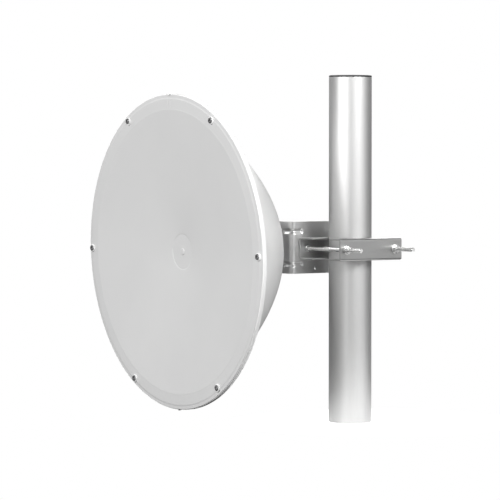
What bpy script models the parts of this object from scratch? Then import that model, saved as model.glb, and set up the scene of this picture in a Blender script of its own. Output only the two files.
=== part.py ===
"""A parabolic microwave dish antenna with a flat-bordered radome, clamped to the side of a steel pole.

Metres, +Z up. The origin is the middle of the pole's bottom end. The dish looks along -Y, stands in front
and to the -X side of the pole, and looks down by the small angle LOOK_DOWN.
"""

import math

import bmesh
import bpy
from mathutils import Vector

GAP = 0.0003
QUARTER = math.pi / 2

# Pole
POLE_RADIUS = 0.0500
POLE_WALL = 0.0040
POLE_HEIGHT = 0.8100
POLE_FOOT_THICK = 0.0080
POLE_CAP_THICK = 0.0045
POLE_CAP_SKIRT = 0.0250
POLE_CAP_EDGE = 0.0015

# Clamp on the pole: two channel jaws drawn together by two threaded rods
CLAMP_HEIGHT = 0.4050
JAW_LENGTH = 0.1770
JAW_HEIGHT = 0.0510
JAW_SHEET = 0.0040
JAW_DEPTH = 0.0502
JAW_CORNER = 0.0050
JAW_WEB_TO_POLE = 0.0822
NOTCH_HALF_ANGLE = math.radians(60)
NOTCH_OVERSHOOT = 0.0100
ROD_RADIUS = 0.0050
ROD_TO_POLE = 0.0696
ROD_HOLE_RADIUS = 0.0056
FRONT_ROD_TIP = 0.1386
REAR_ROD_TIP = 0.1521
ROD_STUB = 0.0040
ROD_CHAMFER = 0.0010
NUT_FLATS = 0.0160
NUT_THICK = 0.0080
WASHER_RADIUS = 0.0105
WASHER_THICK = 0.0020

# Mounting arm: one folded plate, a base leg behind the dish and a side leg along the clamp
ARM_SHEET = 0.0050
ARM_HALF_HEIGHT = 0.0612
ARM_HEIGHT = CLAMP_HEIGHT + 0.0014
ARM_BEND_RADIUS = 0.0120
ARM_FRONT = -0.1103
ARM_REAR = 0.0900
ARM_SIDE = -0.0822
ARM_LEFT = -0.2247
ARM_CORNER = 0.0140
DART_OFFSET = 0.0388
DART_HALF_WIDTH = 0.0050
DART_DEPTH = 0.0022
DART_LENGTH = 0.0350
EARTH_HOLE_RADIUS = 0.0026
EARTH_HOLE_Y = -0.0409
EARTH_HOLE_UP = -0.0500

# Elevation joint: two ears of the tilt bracket between two tabs folded out of the arm's window
DISH_X = -0.1627
PIVOT_DEPTH = 0.3020
AXIS_OVER_PIVOT = 0.0016
LOOK_DOWN = math.radians(1.63)
TILT_LIMIT = math.radians(12)
WINDOW_HALF_WIDTH = 0.0410
WINDOW_HALF_HEIGHT = 0.0440
TAB_INNER = 0.0330
TAB_BEND = 0.0080
TAB_HALF_HEIGHT = 0.0360
TAB_END = 0.0170
TAB_OVERLAP = 0.0020
EAR_OUTER = 0.0320
EAR_SHEET = 0.0040
EAR_BEND = 0.0070
EAR_END = 0.0160
EAR_HALF_HEIGHT = 0.0340
WEB_HALF_HEIGHT = 0.0450
EAR_CORNER = 0.0090
EAR_CORNER_DROP = 0.0140
EAR_RAMP_START = 0.0010
EAR_RAMP_END = 0.0090
EAR_CUT_MARGIN = 0.0050
LOCK_UP = 0.0240
SLOT_PLAY = 0.0005
BOLT_RADIUS = 0.0040
BOLT_FLATS = 0.0130
BOLT_HEAD = 0.0053
BOLT_NUT = 0.0065
BOLT_STUB = 0.0020
FLANGE_PER_FLATS = 0.62
FLANGE_PER_HEAD = 0.25

# Dish, measured from the middle of its front plane, depth counted backwards
DISH_FRONT_TO_POLE = 0.3903
RIM_RADIUS = 0.3650
RIM_DEPTH = 0.0130
RIM_BEAD_INNER = 0.3584
RIM_LIP = 0.0025
RADOME_RADIUS = 0.3580
RADOME_SHEET = 0.0030
RADOME_BEVEL = 0.3535
BORDER_INNER = 0.3290
RADOME_HOLLOW = 0.0285
RADOME_STEP = 0.0015
BOSS_RADIUS = 0.0420
BOSS_NUB_RADIUS = 0.0080
FOUR_FOCAL_LENGTHS = 0.4440
APEX_DEPTH = 0.2600
REFLECTOR_SHEET = 0.0025
RIM_CORNER = 0.0015
BOWL_STEPS = 13
SEAT_RADIUS = 0.0600
HUB_BORE = 0.0205
HUB_REAR = 0.2580
HUB_BOLT_ACROSS = 0.0170
HUB_BOLT_UP = 0.0310
HUB_BOLT_RADIUS = 0.0030
HUB_BOLT_FLATS = 0.0100
HUB_BOLT_HEAD = 0.0040
PORT_NECK = 0.0200
PORT_RADIUS = 0.0260
PORT_FLANGE = 0.0080
PORT_REAR = 0.2850
PORT_FRONT = 0.2440
PORT_BORE = 0.0100
PORT_BORE_DEPTH = 0.0120
MARK_OFFSET = 0.0045
MARK_WIDTH = 0.0014
MARK_PROUD = 0.0008
MARK_FROM_CONE = 0.0030
MARK_FROM_EDGE = 0.0025

# Radome screws, each in a white cup washer
SCREW_CIRCLE = 0.3500
SCREW_COUNT = 6
CUP_RADIUS = 0.0098
CUP_RECESS = 0.0070
CUP_HEIGHT = 0.0040
CUP_FLOOR = 0.0012
SCREW_HEAD = 0.0064
SCREW_HEAD_THICK = 0.0022
SCREW_SOCKET = 0.0024
SCREW_SHANK = 0.0020
SCREW_SHANK_LENGTH = 0.0110
SCREW_SOCKET_DEPTH = 0.0014
SCREW_HEAD_EDGE = 0.0012
SCREW_HOLE_BEHIND = 0.0080
CUP_EDGE = 0.0008

# A clip over the rim at the top and a drain plug in the rim at the bottom
CLIP_WIDTH = 0.0100
CLIP_THICK = 0.0024
CLIP_HOOK = 0.0016
CLIP_REACH = 0.0030
CLIP_EDGE = 0.0008
PLUG_DEPTH = 0.0094
PLUG_SHANK = 0.0022
PLUG_HEAD = 0.0034
PLUG_HEAD_THICK = 0.0022
PLUG_TIP = 0.7
PLUG_REACH_INSIDE = 0.0020

DISH_SEGMENTS = 72
HUB_SEGMENTS = 36
POLE_SEGMENTS = 48
ROUND_SEGMENTS = 20
SMALL_SEGMENTS = 12
HEX_SIDES = 6

DISH_FRONT_Y = -DISH_FRONT_TO_POLE
PIVOT = Vector((DISH_X, DISH_FRONT_Y + PIVOT_DEPTH, ARM_HEIGHT))


def clear_scene():
    for obj in list(bpy.data.objects):
        bpy.data.objects.remove(obj, do_unlink=True)


def make_material(name, color, roughness, metallic=0.0):
    material = bpy.data.materials.new(name)
    material.use_nodes = True
    shader = material.node_tree.nodes["Principled BSDF"]
    shader.inputs["Base Color"].default_value = (*color, 1.0)
    shader.inputs["Roughness"].default_value = roughness
    shader.inputs["Metallic"].default_value = metallic
    return material


def new_object(name, verts, faces, material, parent=None):
    """One closed body from points and faces, with its faces turned outwards and its curves smooth."""
    mesh = bpy.data.meshes.new(name)
    mesh.from_pydata([tuple(v) for v in verts], [], faces)
    body = bmesh.new()
    body.from_mesh(mesh)
    bmesh.ops.recalc_face_normals(body, faces=body.faces)
    body.to_mesh(mesh)
    body.free()
    mesh.shade_smooth()
    mesh.set_sharp_from_angle(angle=math.radians(32))
    obj = bpy.data.objects.new(name, mesh)
    bpy.context.scene.collection.objects.link(obj)
    if material:
        mesh.materials.append(material)
    obj.parent = parent
    return obj


def turned_shape(outline, segments, first=0.0):
    """Points and faces of an outline of (radius, height) turned about +Z, from the angle of step first.

    An outline that starts and ends at radius 0 is closed by its two poles, and any other one is a ring.
    """
    solid = outline[0][0] == 0.0
    verts, rings = [], []
    for radius, height in outline:
        if radius == 0.0:
            rings.append([len(verts)])
            verts.append((0.0, 0.0, height))
            continue
        rings.append(list(range(len(verts), len(verts) + segments)))
        for step in range(segments):
            turn = 2 * math.pi * (step + first) / segments
            verts.append((radius * math.cos(turn), radius * math.sin(turn), height))
    pairs = list(zip(rings, rings[1:]))
    if not solid:
        pairs.append((rings[-1], rings[0]))
    faces = []
    for low, high in pairs:
        for step in range(segments):
            after = (step + 1) % segments
            if len(low) == 1:
                faces.append((low[0], high[step], high[after]))
            elif len(high) == 1:
                faces.append((low[step], high[0], low[after]))
            else:
                faces.append((low[step], high[step], high[after], low[after]))
    return verts, faces


def placed(shape, axis, at):
    """Turns a shape built about +Z so that +Z points along the axis, then moves it to a point."""
    verts, faces = shape
    turn = Vector((0, 0, 1)).rotation_difference(Vector(axis)).to_matrix()
    return [turn @ Vector(v) + Vector(at) for v in verts], faces


def turned(name, outline, axis, material, parent=None, at=(0, 0, 0), segments=ROUND_SEGMENTS, first=0.0):
    return new_object(name, *placed(turned_shape(outline, segments, first), axis, at), material, parent)


def bar(radius, axis, start, length, segments=ROUND_SEGMENTS):
    """A plain bar from a point along an axis; six segments make it a hexagon."""
    outline = [(0.0, 0.0), (radius, 0.0), (radius, length), (0.0, length)]
    return placed(turned_shape(outline, segments), axis, start)


def prism(outline, low, high, place):
    """Points and faces of a flat outline pushed from low to high; place(u, v, w) gives each point."""
    count = len(outline)
    verts = [place(u, v, low) for u, v in outline] + [place(u, v, high) for u, v in outline]
    faces = [tuple(range(count)), tuple(range(count, 2 * count))]
    for step in range(count):
        after = (step + 1) % count
        faces.append((step, after, count + after, count + step))
    return verts, faces


def along_x(u, v, w):
    return (w, u, v)


def along_y(u, v, w):
    return (u, w, v)


def along_z(u, v, w):
    return (u, v, w)


def arc(center, radius, start, end, steps):
    """Points on an arc, both ends included, with angles in radians."""
    points = []
    for k in range(steps + 1):
        turn = start + (end - start) * k / steps
        points.append((center[0] + radius * math.cos(turn), center[1] + radius * math.sin(turn)))
    return points


def combine(target, shape, operation="DIFFERENCE"):
    """Cuts a shape from the target, or joins it on, with a hidden helper that moves with the target."""
    label = f"{target.name}_helper_{len(target.modifiers) + 1}"
    helper = new_object(label, *shape, None, target.parent)
    helper.hide_render = True
    helper.display_type = "WIRE"
    modifier = target.modifiers.new(label, "BOOLEAN")
    modifier.operation = operation
    modifier.solver = "EXACT"
    modifier.object = helper


def hex_bolt(name, seat, axis, radius, length, flats, head, material, parent=None):
    """A bolt whose head sits on the point seat and whose shank runs along the axis."""
    flange_radius = FLANGE_PER_FLATS * flats
    flange = FLANGE_PER_HEAD * head
    outline = [(0.0, length), (radius, length), (radius, 0.0)]
    outline += [(flange_radius, 0.0), (flange_radius, -flange), (0.0, -flange)]
    bolt = turned(name, outline, axis, material, parent, seat, SMALL_SEGMENTS)
    start = Vector(seat) - Vector(axis) * head
    combine(bolt, bar(flats / math.sqrt(3), axis, start, head - flange / 2, HEX_SIDES), "UNION")


def hex_nut(name, low, axis, bore, flats, thick, material, parent=None):
    """A nut from the point low along the axis, with a round bore."""
    nut = new_object(name, *bar(flats / math.sqrt(3), axis, low, thick, HEX_SIDES), material, parent)
    start = Vector(low) - Vector(axis) * thick / 2
    combine(nut, bar(bore, axis, start, 2 * thick, SMALL_SEGMENTS))


def on_dish(across, depth, up):
    """A point of the dish, counted from its front plane's middle, in the pivot's own axes."""
    return Vector((across, depth - PIVOT_DEPTH, up + AXIS_OVER_PIVOT))


def bowl_depth(radius):
    """Depth of the bowl's outer face behind the front plane."""
    return APEX_DEPTH - radius * radius / FOUR_FOCAL_LENGTHS


def bowl_points(start, end, steps, inset):
    """Points (radius, depth) along the paraboloid, moved inwards by inset along its normal."""
    points = []
    for k in range(steps + 1):
        radius = start + (end - start) * k / steps
        slope = -2 * radius / FOUR_FOCAL_LENGTHS
        length = math.hypot(1.0, slope)
        points.append((radius + inset * slope / length, bowl_depth(radius) - inset / length))
    return points


def build_pole(steel, plastic):
    inner = POLE_RADIUS - POLE_WALL
    skirt_top = POLE_HEIGHT - POLE_CAP_THICK
    wall = [(POLE_RADIUS, 0.0), (POLE_RADIUS, skirt_top - GAP), (inner, skirt_top - GAP), (inner, 0.0)]
    turned("mast_tube", wall, (0, 0, 1), steel, segments=POLE_SEGMENTS)
    fit = inner - GAP
    foot = [(0.0, 0.0), (fit, 0.0), (fit, POLE_FOOT_THICK), (0.0, POLE_FOOT_THICK)]
    turned("mast_foot", foot, (0, 0, 1), steel, segments=POLE_SEGMENTS)
    cap = [
        (0.0, skirt_top - POLE_CAP_SKIRT),
        (fit, skirt_top - POLE_CAP_SKIRT),
        (fit, skirt_top),
        (POLE_RADIUS, skirt_top),
        (POLE_RADIUS, POLE_HEIGHT - POLE_CAP_EDGE),
        (POLE_RADIUS - POLE_CAP_EDGE, POLE_HEIGHT),
        (0.0, POLE_HEIGHT),
    ]
    turned("mast_cap", cap, (0, 0, 1), plastic, segments=POLE_SEGMENTS)


def channel_outline(side):
    """Cross-section of a jaw in (x, z), web outside and flanges towards the pole, with round corners."""
    half = JAW_HEIGHT / 2
    outer = JAW_WEB_TO_POLE - (GAP if side < 0 else 0.0)
    inner = outer - JAW_SHEET
    tip = JAW_WEB_TO_POLE - JAW_DEPTH
    points = [(tip, half), (tip, half - JAW_SHEET)]
    points += [(inner, half - JAW_SHEET), (inner, JAW_SHEET - half)]
    points += [(tip, JAW_SHEET - half), (tip, -half)]
    points += arc((outer - JAW_CORNER, JAW_CORNER - half), JAW_CORNER, -QUARTER, 0.0, 4)
    points += arc((outer - JAW_CORNER, half - JAW_CORNER), JAW_CORNER, 0.0, QUARTER, 4)
    return [(side * x, z + CLAMP_HEIGHT) for x, z in points]


def build_jaw(name, side, steel):
    """A channel whose flanges have a V notch that grips the pole, and whose web has two rod holes."""
    half = JAW_LENGTH / 2
    jaw = new_object(name, *prism(channel_outline(side), -half, half, along_y), steel)
    apex = (POLE_RADIUS + GAP) / math.sin(NOTCH_HALF_ANGLE)
    mouth = JAW_WEB_TO_POLE - JAW_DEPTH - NOTCH_OVERSHOOT
    spread = (apex - mouth) * math.tan(NOTCH_HALF_ANGLE)
    notch = [(side * apex, 0.0), (side * mouth, spread), (side * mouth, -spread)]
    combine(jaw, prism(notch, CLAMP_HEIGHT - JAW_HEIGHT, CLAMP_HEIGHT + JAW_HEIGHT, along_z))
    for y in (-ROD_TO_POLE, ROD_TO_POLE):
        start = (side * (JAW_WEB_TO_POLE - 3 * JAW_SHEET), y, CLAMP_HEIGHT)
        combine(jaw, bar(ROD_HOLE_RADIUS, (side, 0, 0), start, 5 * JAW_SHEET))


def build_rods(steel):
    """Two threaded rods, each with a nut behind the arm, inside the inner jaw and outside the outer jaw."""
    bore = ROD_RADIUS + GAP
    back_nut = ARM_SIDE - ARM_SHEET - GAP - NUT_THICK
    inner_nut = ARM_SIDE + GAP + JAW_SHEET + GAP
    washer = JAW_WEB_TO_POLE + GAP
    outer_nut = washer + WASHER_THICK + GAP
    rod_end = back_nut - ROD_STUB
    ring = [(WASHER_RADIUS, 0.0), (WASHER_RADIUS, WASHER_THICK), (bore, WASHER_THICK), (bore, 0.0)]
    for place, y, tip in (("front", -ROD_TO_POLE, FRONT_ROD_TIP), ("rear", ROD_TO_POLE, REAR_ROD_TIP)):
        length = tip - rod_end
        outline = [
            (0.0, 0.0),
            (ROD_RADIUS - ROD_CHAMFER, 0.0),
            (ROD_RADIUS, ROD_CHAMFER),
            (ROD_RADIUS, length - ROD_CHAMFER),
            (ROD_RADIUS - ROD_CHAMFER, length),
            (0.0, length),
        ]
        turned(f"clamp_rod_{place}", outline, (1, 0, 0), steel, at=(rod_end, y, CLAMP_HEIGHT))
        turned(f"outer_washer_{place}", ring, (1, 0, 0), steel, at=(washer, y, CLAMP_HEIGHT))
        for label, x in (("back_nut", back_nut), ("inner_nut", inner_nut), ("outer_nut", outer_nut)):
            hex_nut(f"{label}_{place}", (x, y, CLAMP_HEIGHT), (1, 0, 0), bore, NUT_FLATS, NUT_THICK, steel)


def arm_plan():
    """The folded plate seen from above: a base leg across X, a bend, and a side leg along Y."""
    bend = (ARM_SIDE - ARM_BEND_RADIUS, ARM_FRONT + ARM_BEND_RADIUS)
    outer = [(ARM_LEFT, ARM_FRONT)] + arc(bend, ARM_BEND_RADIUS, -QUARTER, 0.0, 8) + [(ARM_SIDE, ARM_REAR)]
    inner = [(ARM_SIDE - ARM_SHEET, ARM_REAR)] + arc(bend, ARM_BEND_RADIUS - ARM_SHEET, 0.0, -QUARTER, 8)
    return outer + inner + [(ARM_LEFT, ARM_FRONT + ARM_SHEET)]


def round_arm_corners(arm):
    """Rounds the four free corners of the plate, two at each end."""
    body = bmesh.new()
    body.from_mesh(arm.data)
    corners = []
    for edge in body.edges:
        a, b = edge.verts[0].co, edge.verts[1].co
        at_left = abs(a.x - ARM_LEFT) < 1e-6 and abs(b.x - ARM_LEFT) < 1e-6
        at_rear = abs(a.y - ARM_REAR) < 1e-6 and abs(b.y - ARM_REAR) < 1e-6
        if abs(a.z - b.z) < 1e-6 and (at_left or at_rear):
            corners.append(edge)
    bmesh.ops.bevel(body, geom=corners, offset=ARM_CORNER, segments=6, profile=0.5, affect="EDGES")
    bmesh.ops.recalc_face_normals(body, faces=body.faces)
    body.to_mesh(arm.data)
    body.free()
    arm.data.shade_smooth()
    arm.data.set_sharp_from_angle(angle=math.radians(32))


def press_darts(arm):
    """Two shallow grooves pressed across the bend, running out to nothing on both legs."""
    x, y = ARM_SIDE, ARM_FRONT
    slope = 2 * DART_DEPTH
    bend = (x - ARM_BEND_RADIUS, y + ARM_BEND_RADIUS)
    outline = [(x - DART_LENGTH - slope, y - DART_DEPTH), (x - DART_LENGTH + slope, y + DART_DEPTH)]
    outline += arc(bend, ARM_BEND_RADIUS - DART_DEPTH, -QUARTER, 0.0, 6)
    outline += [(x - DART_DEPTH, y + DART_LENGTH - slope), (x + DART_DEPTH, y + DART_LENGTH + slope)]
    outline += [(x + DART_DEPTH, y - DART_DEPTH)]
    for offset in (-DART_OFFSET, DART_OFFSET):
        middle = ARM_HEIGHT + offset
        combine(arm, prism(outline, middle - DART_HALF_WIDTH, middle + DART_HALF_WIDTH, along_z))


def tab_plan(side):
    """A tab seen from above: it leaves the base leg at the window's edge and bends backwards."""
    front = ARM_FRONT
    centre_x = TAB_INNER + TAB_BEND
    centre = (centre_x, front + TAB_BEND)
    overlap = centre_x + TAB_OVERLAP
    end = PIVOT.y + TAB_END
    convex = arc(centre, TAB_BEND, -QUARTER, -2 * QUARTER, 6)
    concave = arc(centre, TAB_BEND - ARM_SHEET, -2 * QUARTER, -QUARTER, 6)
    points = [(overlap, front)] + convex + [(TAB_INNER, end), (TAB_INNER + ARM_SHEET, end)]
    points += concave + [(overlap, front + ARM_SHEET)]
    return [(DISH_X + side * x, y) for x, y in points]


def lock_slot():
    """The curved slot above the pivot that a lock bolt slides in while the dish tilts."""
    half = BOLT_RADIUS + SLOT_PLAY
    start, end = QUARTER - TILT_LIMIT, QUARTER + TILT_LIMIT
    center = (PIVOT.y, PIVOT.z)
    low = arc(center, LOCK_UP, start, end, 1)
    outline = arc(center, LOCK_UP + half, start, end, 6)
    outline += arc(low[1], half, end, end + math.pi, 6)[1:-1]
    outline += arc(center, LOCK_UP - half, end, start, 6)
    outline += arc(low[0], half, start + math.pi, start + 2 * math.pi, 6)[1:-1]
    return outline


def build_arm(steel):
    low, high = ARM_HEIGHT - ARM_HALF_HEIGHT, ARM_HEIGHT + ARM_HALF_HEIGHT
    arm = new_object("mount_arm", *prism(arm_plan(), low, high, along_z), steel)
    round_arm_corners(arm)
    press_darts(arm)
    left, right = DISH_X - WINDOW_HALF_WIDTH, DISH_X + WINDOW_HALF_WIDTH
    bottom, top = ARM_HEIGHT - WINDOW_HALF_HEIGHT, ARM_HEIGHT + WINDOW_HALF_HEIGHT
    window = [(left, bottom), (right, bottom), (right, top), (left, top)]
    combine(arm, prism(window, ARM_FRONT - ARM_SHEET, ARM_FRONT + 2 * ARM_SHEET, along_y))
    for side in (-1, 1):
        tab_low, tab_high = ARM_HEIGHT - TAB_HALF_HEIGHT, ARM_HEIGHT + TAB_HALF_HEIGHT
        combine(arm, prism(tab_plan(side), tab_low, tab_high, along_z), "UNION")
        near, far = sorted((side * (TAB_INNER - ARM_SHEET), side * (TAB_INNER + 2 * ARM_SHEET)))
        start = (DISH_X + near, PIVOT.y, PIVOT.z)
        combine(arm, bar(BOLT_RADIUS + GAP, (1, 0, 0), start, far - near))
        combine(arm, prism(lock_slot(), DISH_X + near, DISH_X + far, along_x))
    start = ARM_SIDE - 2 * ARM_SHEET
    for y in (-ROD_TO_POLE, ROD_TO_POLE):
        combine(arm, bar(ROD_HOLE_RADIUS, (1, 0, 0), (start, y, CLAMP_HEIGHT), 3 * ARM_SHEET))
    earth = (start, EARTH_HOLE_Y, ARM_HEIGHT + EARTH_HOLE_UP)
    combine(arm, bar(EARTH_HOLE_RADIUS, (1, 0, 0), earth, 3 * ARM_SHEET, SMALL_SEGMENTS))


def build_tilt_bracket(steel, pivot):
    """A U of sheet: its web is bolted to the hub, and its two ears reach back past the pivot."""
    web = HUB_REAR + GAP - PIVOT_DEPTH
    right = arc((EAR_OUTER - EAR_BEND, web + EAR_BEND), EAR_BEND, -QUARTER, 0.0, 5)
    outer = right + [(EAR_OUTER, EAR_END)]
    inner_bend = EAR_BEND - EAR_SHEET
    inside = arc((EAR_OUTER - EAR_BEND, web + EAR_BEND), inner_bend, 0.0, -QUARTER, 5)
    half_plan = outer + [(EAR_OUTER - EAR_SHEET, EAR_END)] + inside
    mirrored = [(-x, y) for x, y in reversed(half_plan)]
    low, high = AXIS_OVER_PIVOT - WEB_HALF_HEIGHT, AXIS_OVER_PIVOT + WEB_HALF_HEIGHT
    bracket = new_object("tilt_bracket", *prism(half_plan + mirrored, low, high, along_z), steel, pivot)
    front = web + EAR_BEND
    beyond = WEB_HALF_HEIGHT + 2 * EAR_CUT_MARGIN
    out = EAR_END + EAR_CUT_MARGIN
    notch = [
        (front + EAR_RAMP_START, beyond),
        (front + EAR_RAMP_START, WEB_HALF_HEIGHT - EAR_RAMP_START),
        (front + EAR_RAMP_END, EAR_HALF_HEIGHT),
        (EAR_END - EAR_CORNER, EAR_HALF_HEIGHT),
        (out, EAR_HALF_HEIGHT - EAR_CORNER_DROP),
        (out, beyond),
    ]
    for flip in (-1, 1):
        outline = [(y, flip * z) for y, z in notch]
        combine(bracket, prism(outline, -2 * EAR_OUTER, 2 * EAR_OUTER, along_x))
    back = (0, 1, 0)
    start = Vector((0.0, web - EAR_SHEET, AXIS_OVER_PIVOT))
    combine(bracket, bar(HUB_BORE, back, start, 3 * EAR_SHEET, HUB_SEGMENTS))
    for across, up in hub_bolt_places():
        at = start + Vector((across, 0.0, up))
        combine(bracket, bar(HUB_BOLT_RADIUS + GAP, back, at, 3 * EAR_SHEET, SMALL_SEGMENTS))
    for up in (0.0, LOCK_UP):
        at = (-2 * EAR_OUTER, 0.0, up)
        combine(bracket, bar(BOLT_RADIUS + GAP, (1, 0, 0), at, 4 * EAR_OUTER))


def build_tilt_bolts(steel, pivot):
    """Two pivot bolts fixed in the arm's tabs, and two lock bolts that travel with the ears."""
    seat = TAB_INNER + ARM_SHEET + GAP
    nut_top = EAR_OUTER - EAR_SHEET - GAP
    length = seat - nut_top + BOLT_NUT + BOLT_STUB
    for word, side in (("left", -1), ("right", 1)):
        inwards = Vector((-side, 0, 0))
        for kind, middle, parent in (
            ("pivot", PIVOT, None),
            ("lock", Vector((0.0, 0.0, LOCK_UP)), pivot),
        ):
            head = middle - inwards * seat
            nut = middle - inwards * nut_top
            size = (BOLT_RADIUS, length, BOLT_FLATS, BOLT_HEAD)
            hex_bolt(f"{kind}_bolt_{word}", head, inwards, *size, steel, parent)
            bore = BOLT_RADIUS + GAP
            hex_nut(f"{kind}_nut_{word}", nut, inwards, bore, BOLT_FLATS, BOLT_NUT, steel, parent)


def hub_bolt_places():
    return [(a * HUB_BOLT_ACROSS, b * HUB_BOLT_UP) for a in (-1, 1) for b in (-1, 1)]


def build_hub(aluminium, steel, reflector, pivot):
    """A thick plate between the bowl's flat seat and the tilt bracket, with four bolts through all three."""
    back = Vector((0, 1, 0))
    front = bowl_depth(SEAT_RADIUS) + GAP
    edge = 0.0010
    outline = [
        (HUB_BORE, front),
        (SEAT_RADIUS, front),
        (SEAT_RADIUS, HUB_REAR - edge),
        (SEAT_RADIUS - edge, HUB_REAR),
        (HUB_BORE, HUB_REAR),
    ]
    hub = turned("hub_plate", outline, back, aluminium, pivot, on_dish(0, 0, 0), HUB_SEGMENTS)
    seat = HUB_REAR + GAP + EAR_SHEET + GAP
    length = seat - bowl_depth(SEAT_RADIUS) + 2 * REFLECTOR_SHEET
    for number, (across, up) in enumerate(hub_bolt_places(), 1):
        head = on_dish(across, seat, up)
        size = (HUB_BOLT_RADIUS, length, HUB_BOLT_FLATS, HUB_BOLT_HEAD)
        hex_bolt(f"hub_bolt_{number}", head, -back, *size, steel, pivot)
        for target in (hub, reflector):
            start = on_dish(across, seat - length - GAP, up)
            combine(target, bar(HUB_BOLT_RADIUS + GAP, back, start, length, SMALL_SEGMENTS))


def build_port(aluminium, pivot):
    """The feed's round waveguide port: a neck through the hub and a flange between the two ears."""
    flange = PORT_REAR - PORT_FLANGE
    edge = 0.0010
    outline = [
        (0.0, PORT_FRONT),
        (PORT_NECK, PORT_FRONT),
        (PORT_NECK, flange),
        (PORT_RADIUS, flange),
        (PORT_RADIUS, PORT_REAR - edge),
        (PORT_RADIUS - edge, PORT_REAR),
        (PORT_BORE, PORT_REAR),
        (PORT_BORE, PORT_REAR - PORT_BORE_DEPTH),
        (0.0, PORT_REAR - PORT_BORE_DEPTH),
    ]
    turned("feed_port", outline, (0, 1, 0), aluminium, pivot, on_dish(0, 0, 0), HUB_SEGMENTS)


def build_reflector(paint, pivot):
    """A spun bowl: a flat middle seat, a paraboloid, a flange for the radome, a bead and a turned-back lip."""
    seat = RADOME_SHEET + GAP
    flange_back = seat + REFLECTOR_SHEET
    outer_edge = math.sqrt(FOUR_FOCAL_LENGTHS * (APEX_DEPTH - flange_back))
    inner = bowl_points(SEAT_RADIUS, outer_edge, BOWL_STEPS, REFLECTOR_SHEET)
    outer = bowl_points(SEAT_RADIUS, outer_edge, BOWL_STEPS, 0.0)
    flat = bowl_depth(SEAT_RADIUS)
    inner[0] = (inner[0][0], flat - REFLECTOR_SHEET)
    inner[-1] = (inner[-1][0], seat)
    corner = RIM_CORNER
    rim = [
        (RIM_BEAD_INNER, seat),
        (RIM_BEAD_INNER, corner),
        (RIM_BEAD_INNER + corner, 0.0),
        (RIM_RADIUS - corner, 0.0),
        (RIM_RADIUS - 0.3 * corner, 0.3 * corner),
        (RIM_RADIUS, corner),
        (RIM_RADIUS, RIM_DEPTH),
        (RIM_RADIUS - RIM_LIP, RIM_DEPTH),
        (RIM_RADIUS - RIM_LIP, flange_back),
    ]
    middle = [(HUB_BORE, flat), (HUB_BORE, flat - REFLECTOR_SHEET)]
    outline = middle + inner + rim + outer[::-1]
    zero = on_dish(0, 0, 0)
    reflector = turned("reflector", outline, (0, 1, 0), paint, pivot, zero, DISH_SEGMENTS, 0.5)
    start = on_dish(0, PLUG_DEPTH, -RIM_RADIUS - RIM_LIP)
    combine(reflector, bar(PLUG_SHANK + GAP, (0, 0, 1), start, 3 * RIM_LIP, SMALL_SEGMENTS))
    return reflector


def build_radome(plastic, pivot):
    """A moulded cover: a flat border, a shallow hollow cone, and a flat boss with a nub in the middle."""
    step = RADOME_STEP
    sheet = RADOME_SHEET
    floor = RADOME_HOLLOW
    front = [
        (0.0, floor - step),
        (BOSS_NUB_RADIUS - step, floor - step),
        (BOSS_NUB_RADIUS, floor),
        (BOSS_RADIUS - step, floor),
        (BOSS_RADIUS, floor - step / 2),
        (BORDER_INNER - step, step / 2),
        (BORDER_INNER, 0.0),
        (RADOME_BEVEL, 0.0),
        (RADOME_RADIUS, step),
        (RADOME_RADIUS, sheet),
    ]
    back = [
        (BORDER_INNER - step, sheet),
        (BOSS_RADIUS, floor + sheet - step / 2),
        (BOSS_RADIUS - step, floor + sheet),
        (0.0, floor + sheet),
    ]
    zero = on_dish(0, 0, 0)
    radome = turned("radome", front + back, (0, 1, 0), plastic, pivot, zero, DISH_SEGMENTS, 0.5)
    for side in (-1, 1):
        left = side * MARK_OFFSET - MARK_WIDTH / 2
        low, high = BORDER_INNER + MARK_FROM_CONE, RADOME_BEVEL - MARK_FROM_EDGE
        outline = [(left, low), (left + MARK_WIDTH, low), (left + MARK_WIDTH, high), (left, high)]
        points = [(x, z + AXIS_OVER_PIVOT) for x, z in outline]
        front_face = -PIVOT_DEPTH - MARK_PROUD
        combine(radome, prism(points, front_face, -PIVOT_DEPTH + MARK_PROUD, along_y), "UNION")
    return radome


def build_radome_screws(targets, steel, plastic, pivot):
    back = (0, 1, 0)
    seat = -GAP
    cup_front = seat - CUP_HEIGHT
    head_seat = seat - CUP_FLOOR - GAP
    head_front = head_seat - SCREW_HEAD_THICK
    hole = SCREW_SHANK + GAP
    edge = CUP_EDGE
    cup = [
        (hole, seat),
        (CUP_RADIUS, seat),
        (CUP_RADIUS, cup_front + edge),
        (CUP_RADIUS - edge, cup_front),
        (CUP_RECESS, cup_front),
        (CUP_RECESS, seat - CUP_FLOOR),
        (hole, seat - CUP_FLOOR),
    ]
    head = [
        (0.0, head_front + SCREW_SOCKET_DEPTH),
        (SCREW_SOCKET, head_front + SCREW_SOCKET_DEPTH),
        (SCREW_SOCKET, head_front),
        (SCREW_HEAD - 2 * edge, head_front),
        (SCREW_HEAD, head_front + SCREW_HEAD_EDGE),
        (SCREW_HEAD, head_seat),
        (SCREW_SHANK, head_seat),
        (SCREW_SHANK, head_seat + SCREW_SHANK_LENGTH),
        (0.0, head_seat + SCREW_SHANK_LENGTH),
    ]
    for number in range(SCREW_COUNT):
        turn = 2 * math.pi * number / SCREW_COUNT
        across, up = SCREW_CIRCLE * math.cos(turn), SCREW_CIRCLE * math.sin(turn)
        at = on_dish(across, 0, up)
        turned(f"screw_cup_{number + 1}", cup, back, plastic, pivot, at, ROUND_SEGMENTS)
        turned(f"radome_screw_{number + 1}", head, back, steel, pivot, at, SMALL_SEGMENTS)
        for target in targets:
            start = on_dish(across, -CUP_HEIGHT, up)
            combine(target, bar(hole, back, start, CUP_HEIGHT + SCREW_HOLE_BEHIND, SMALL_SEGMENTS))


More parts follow.
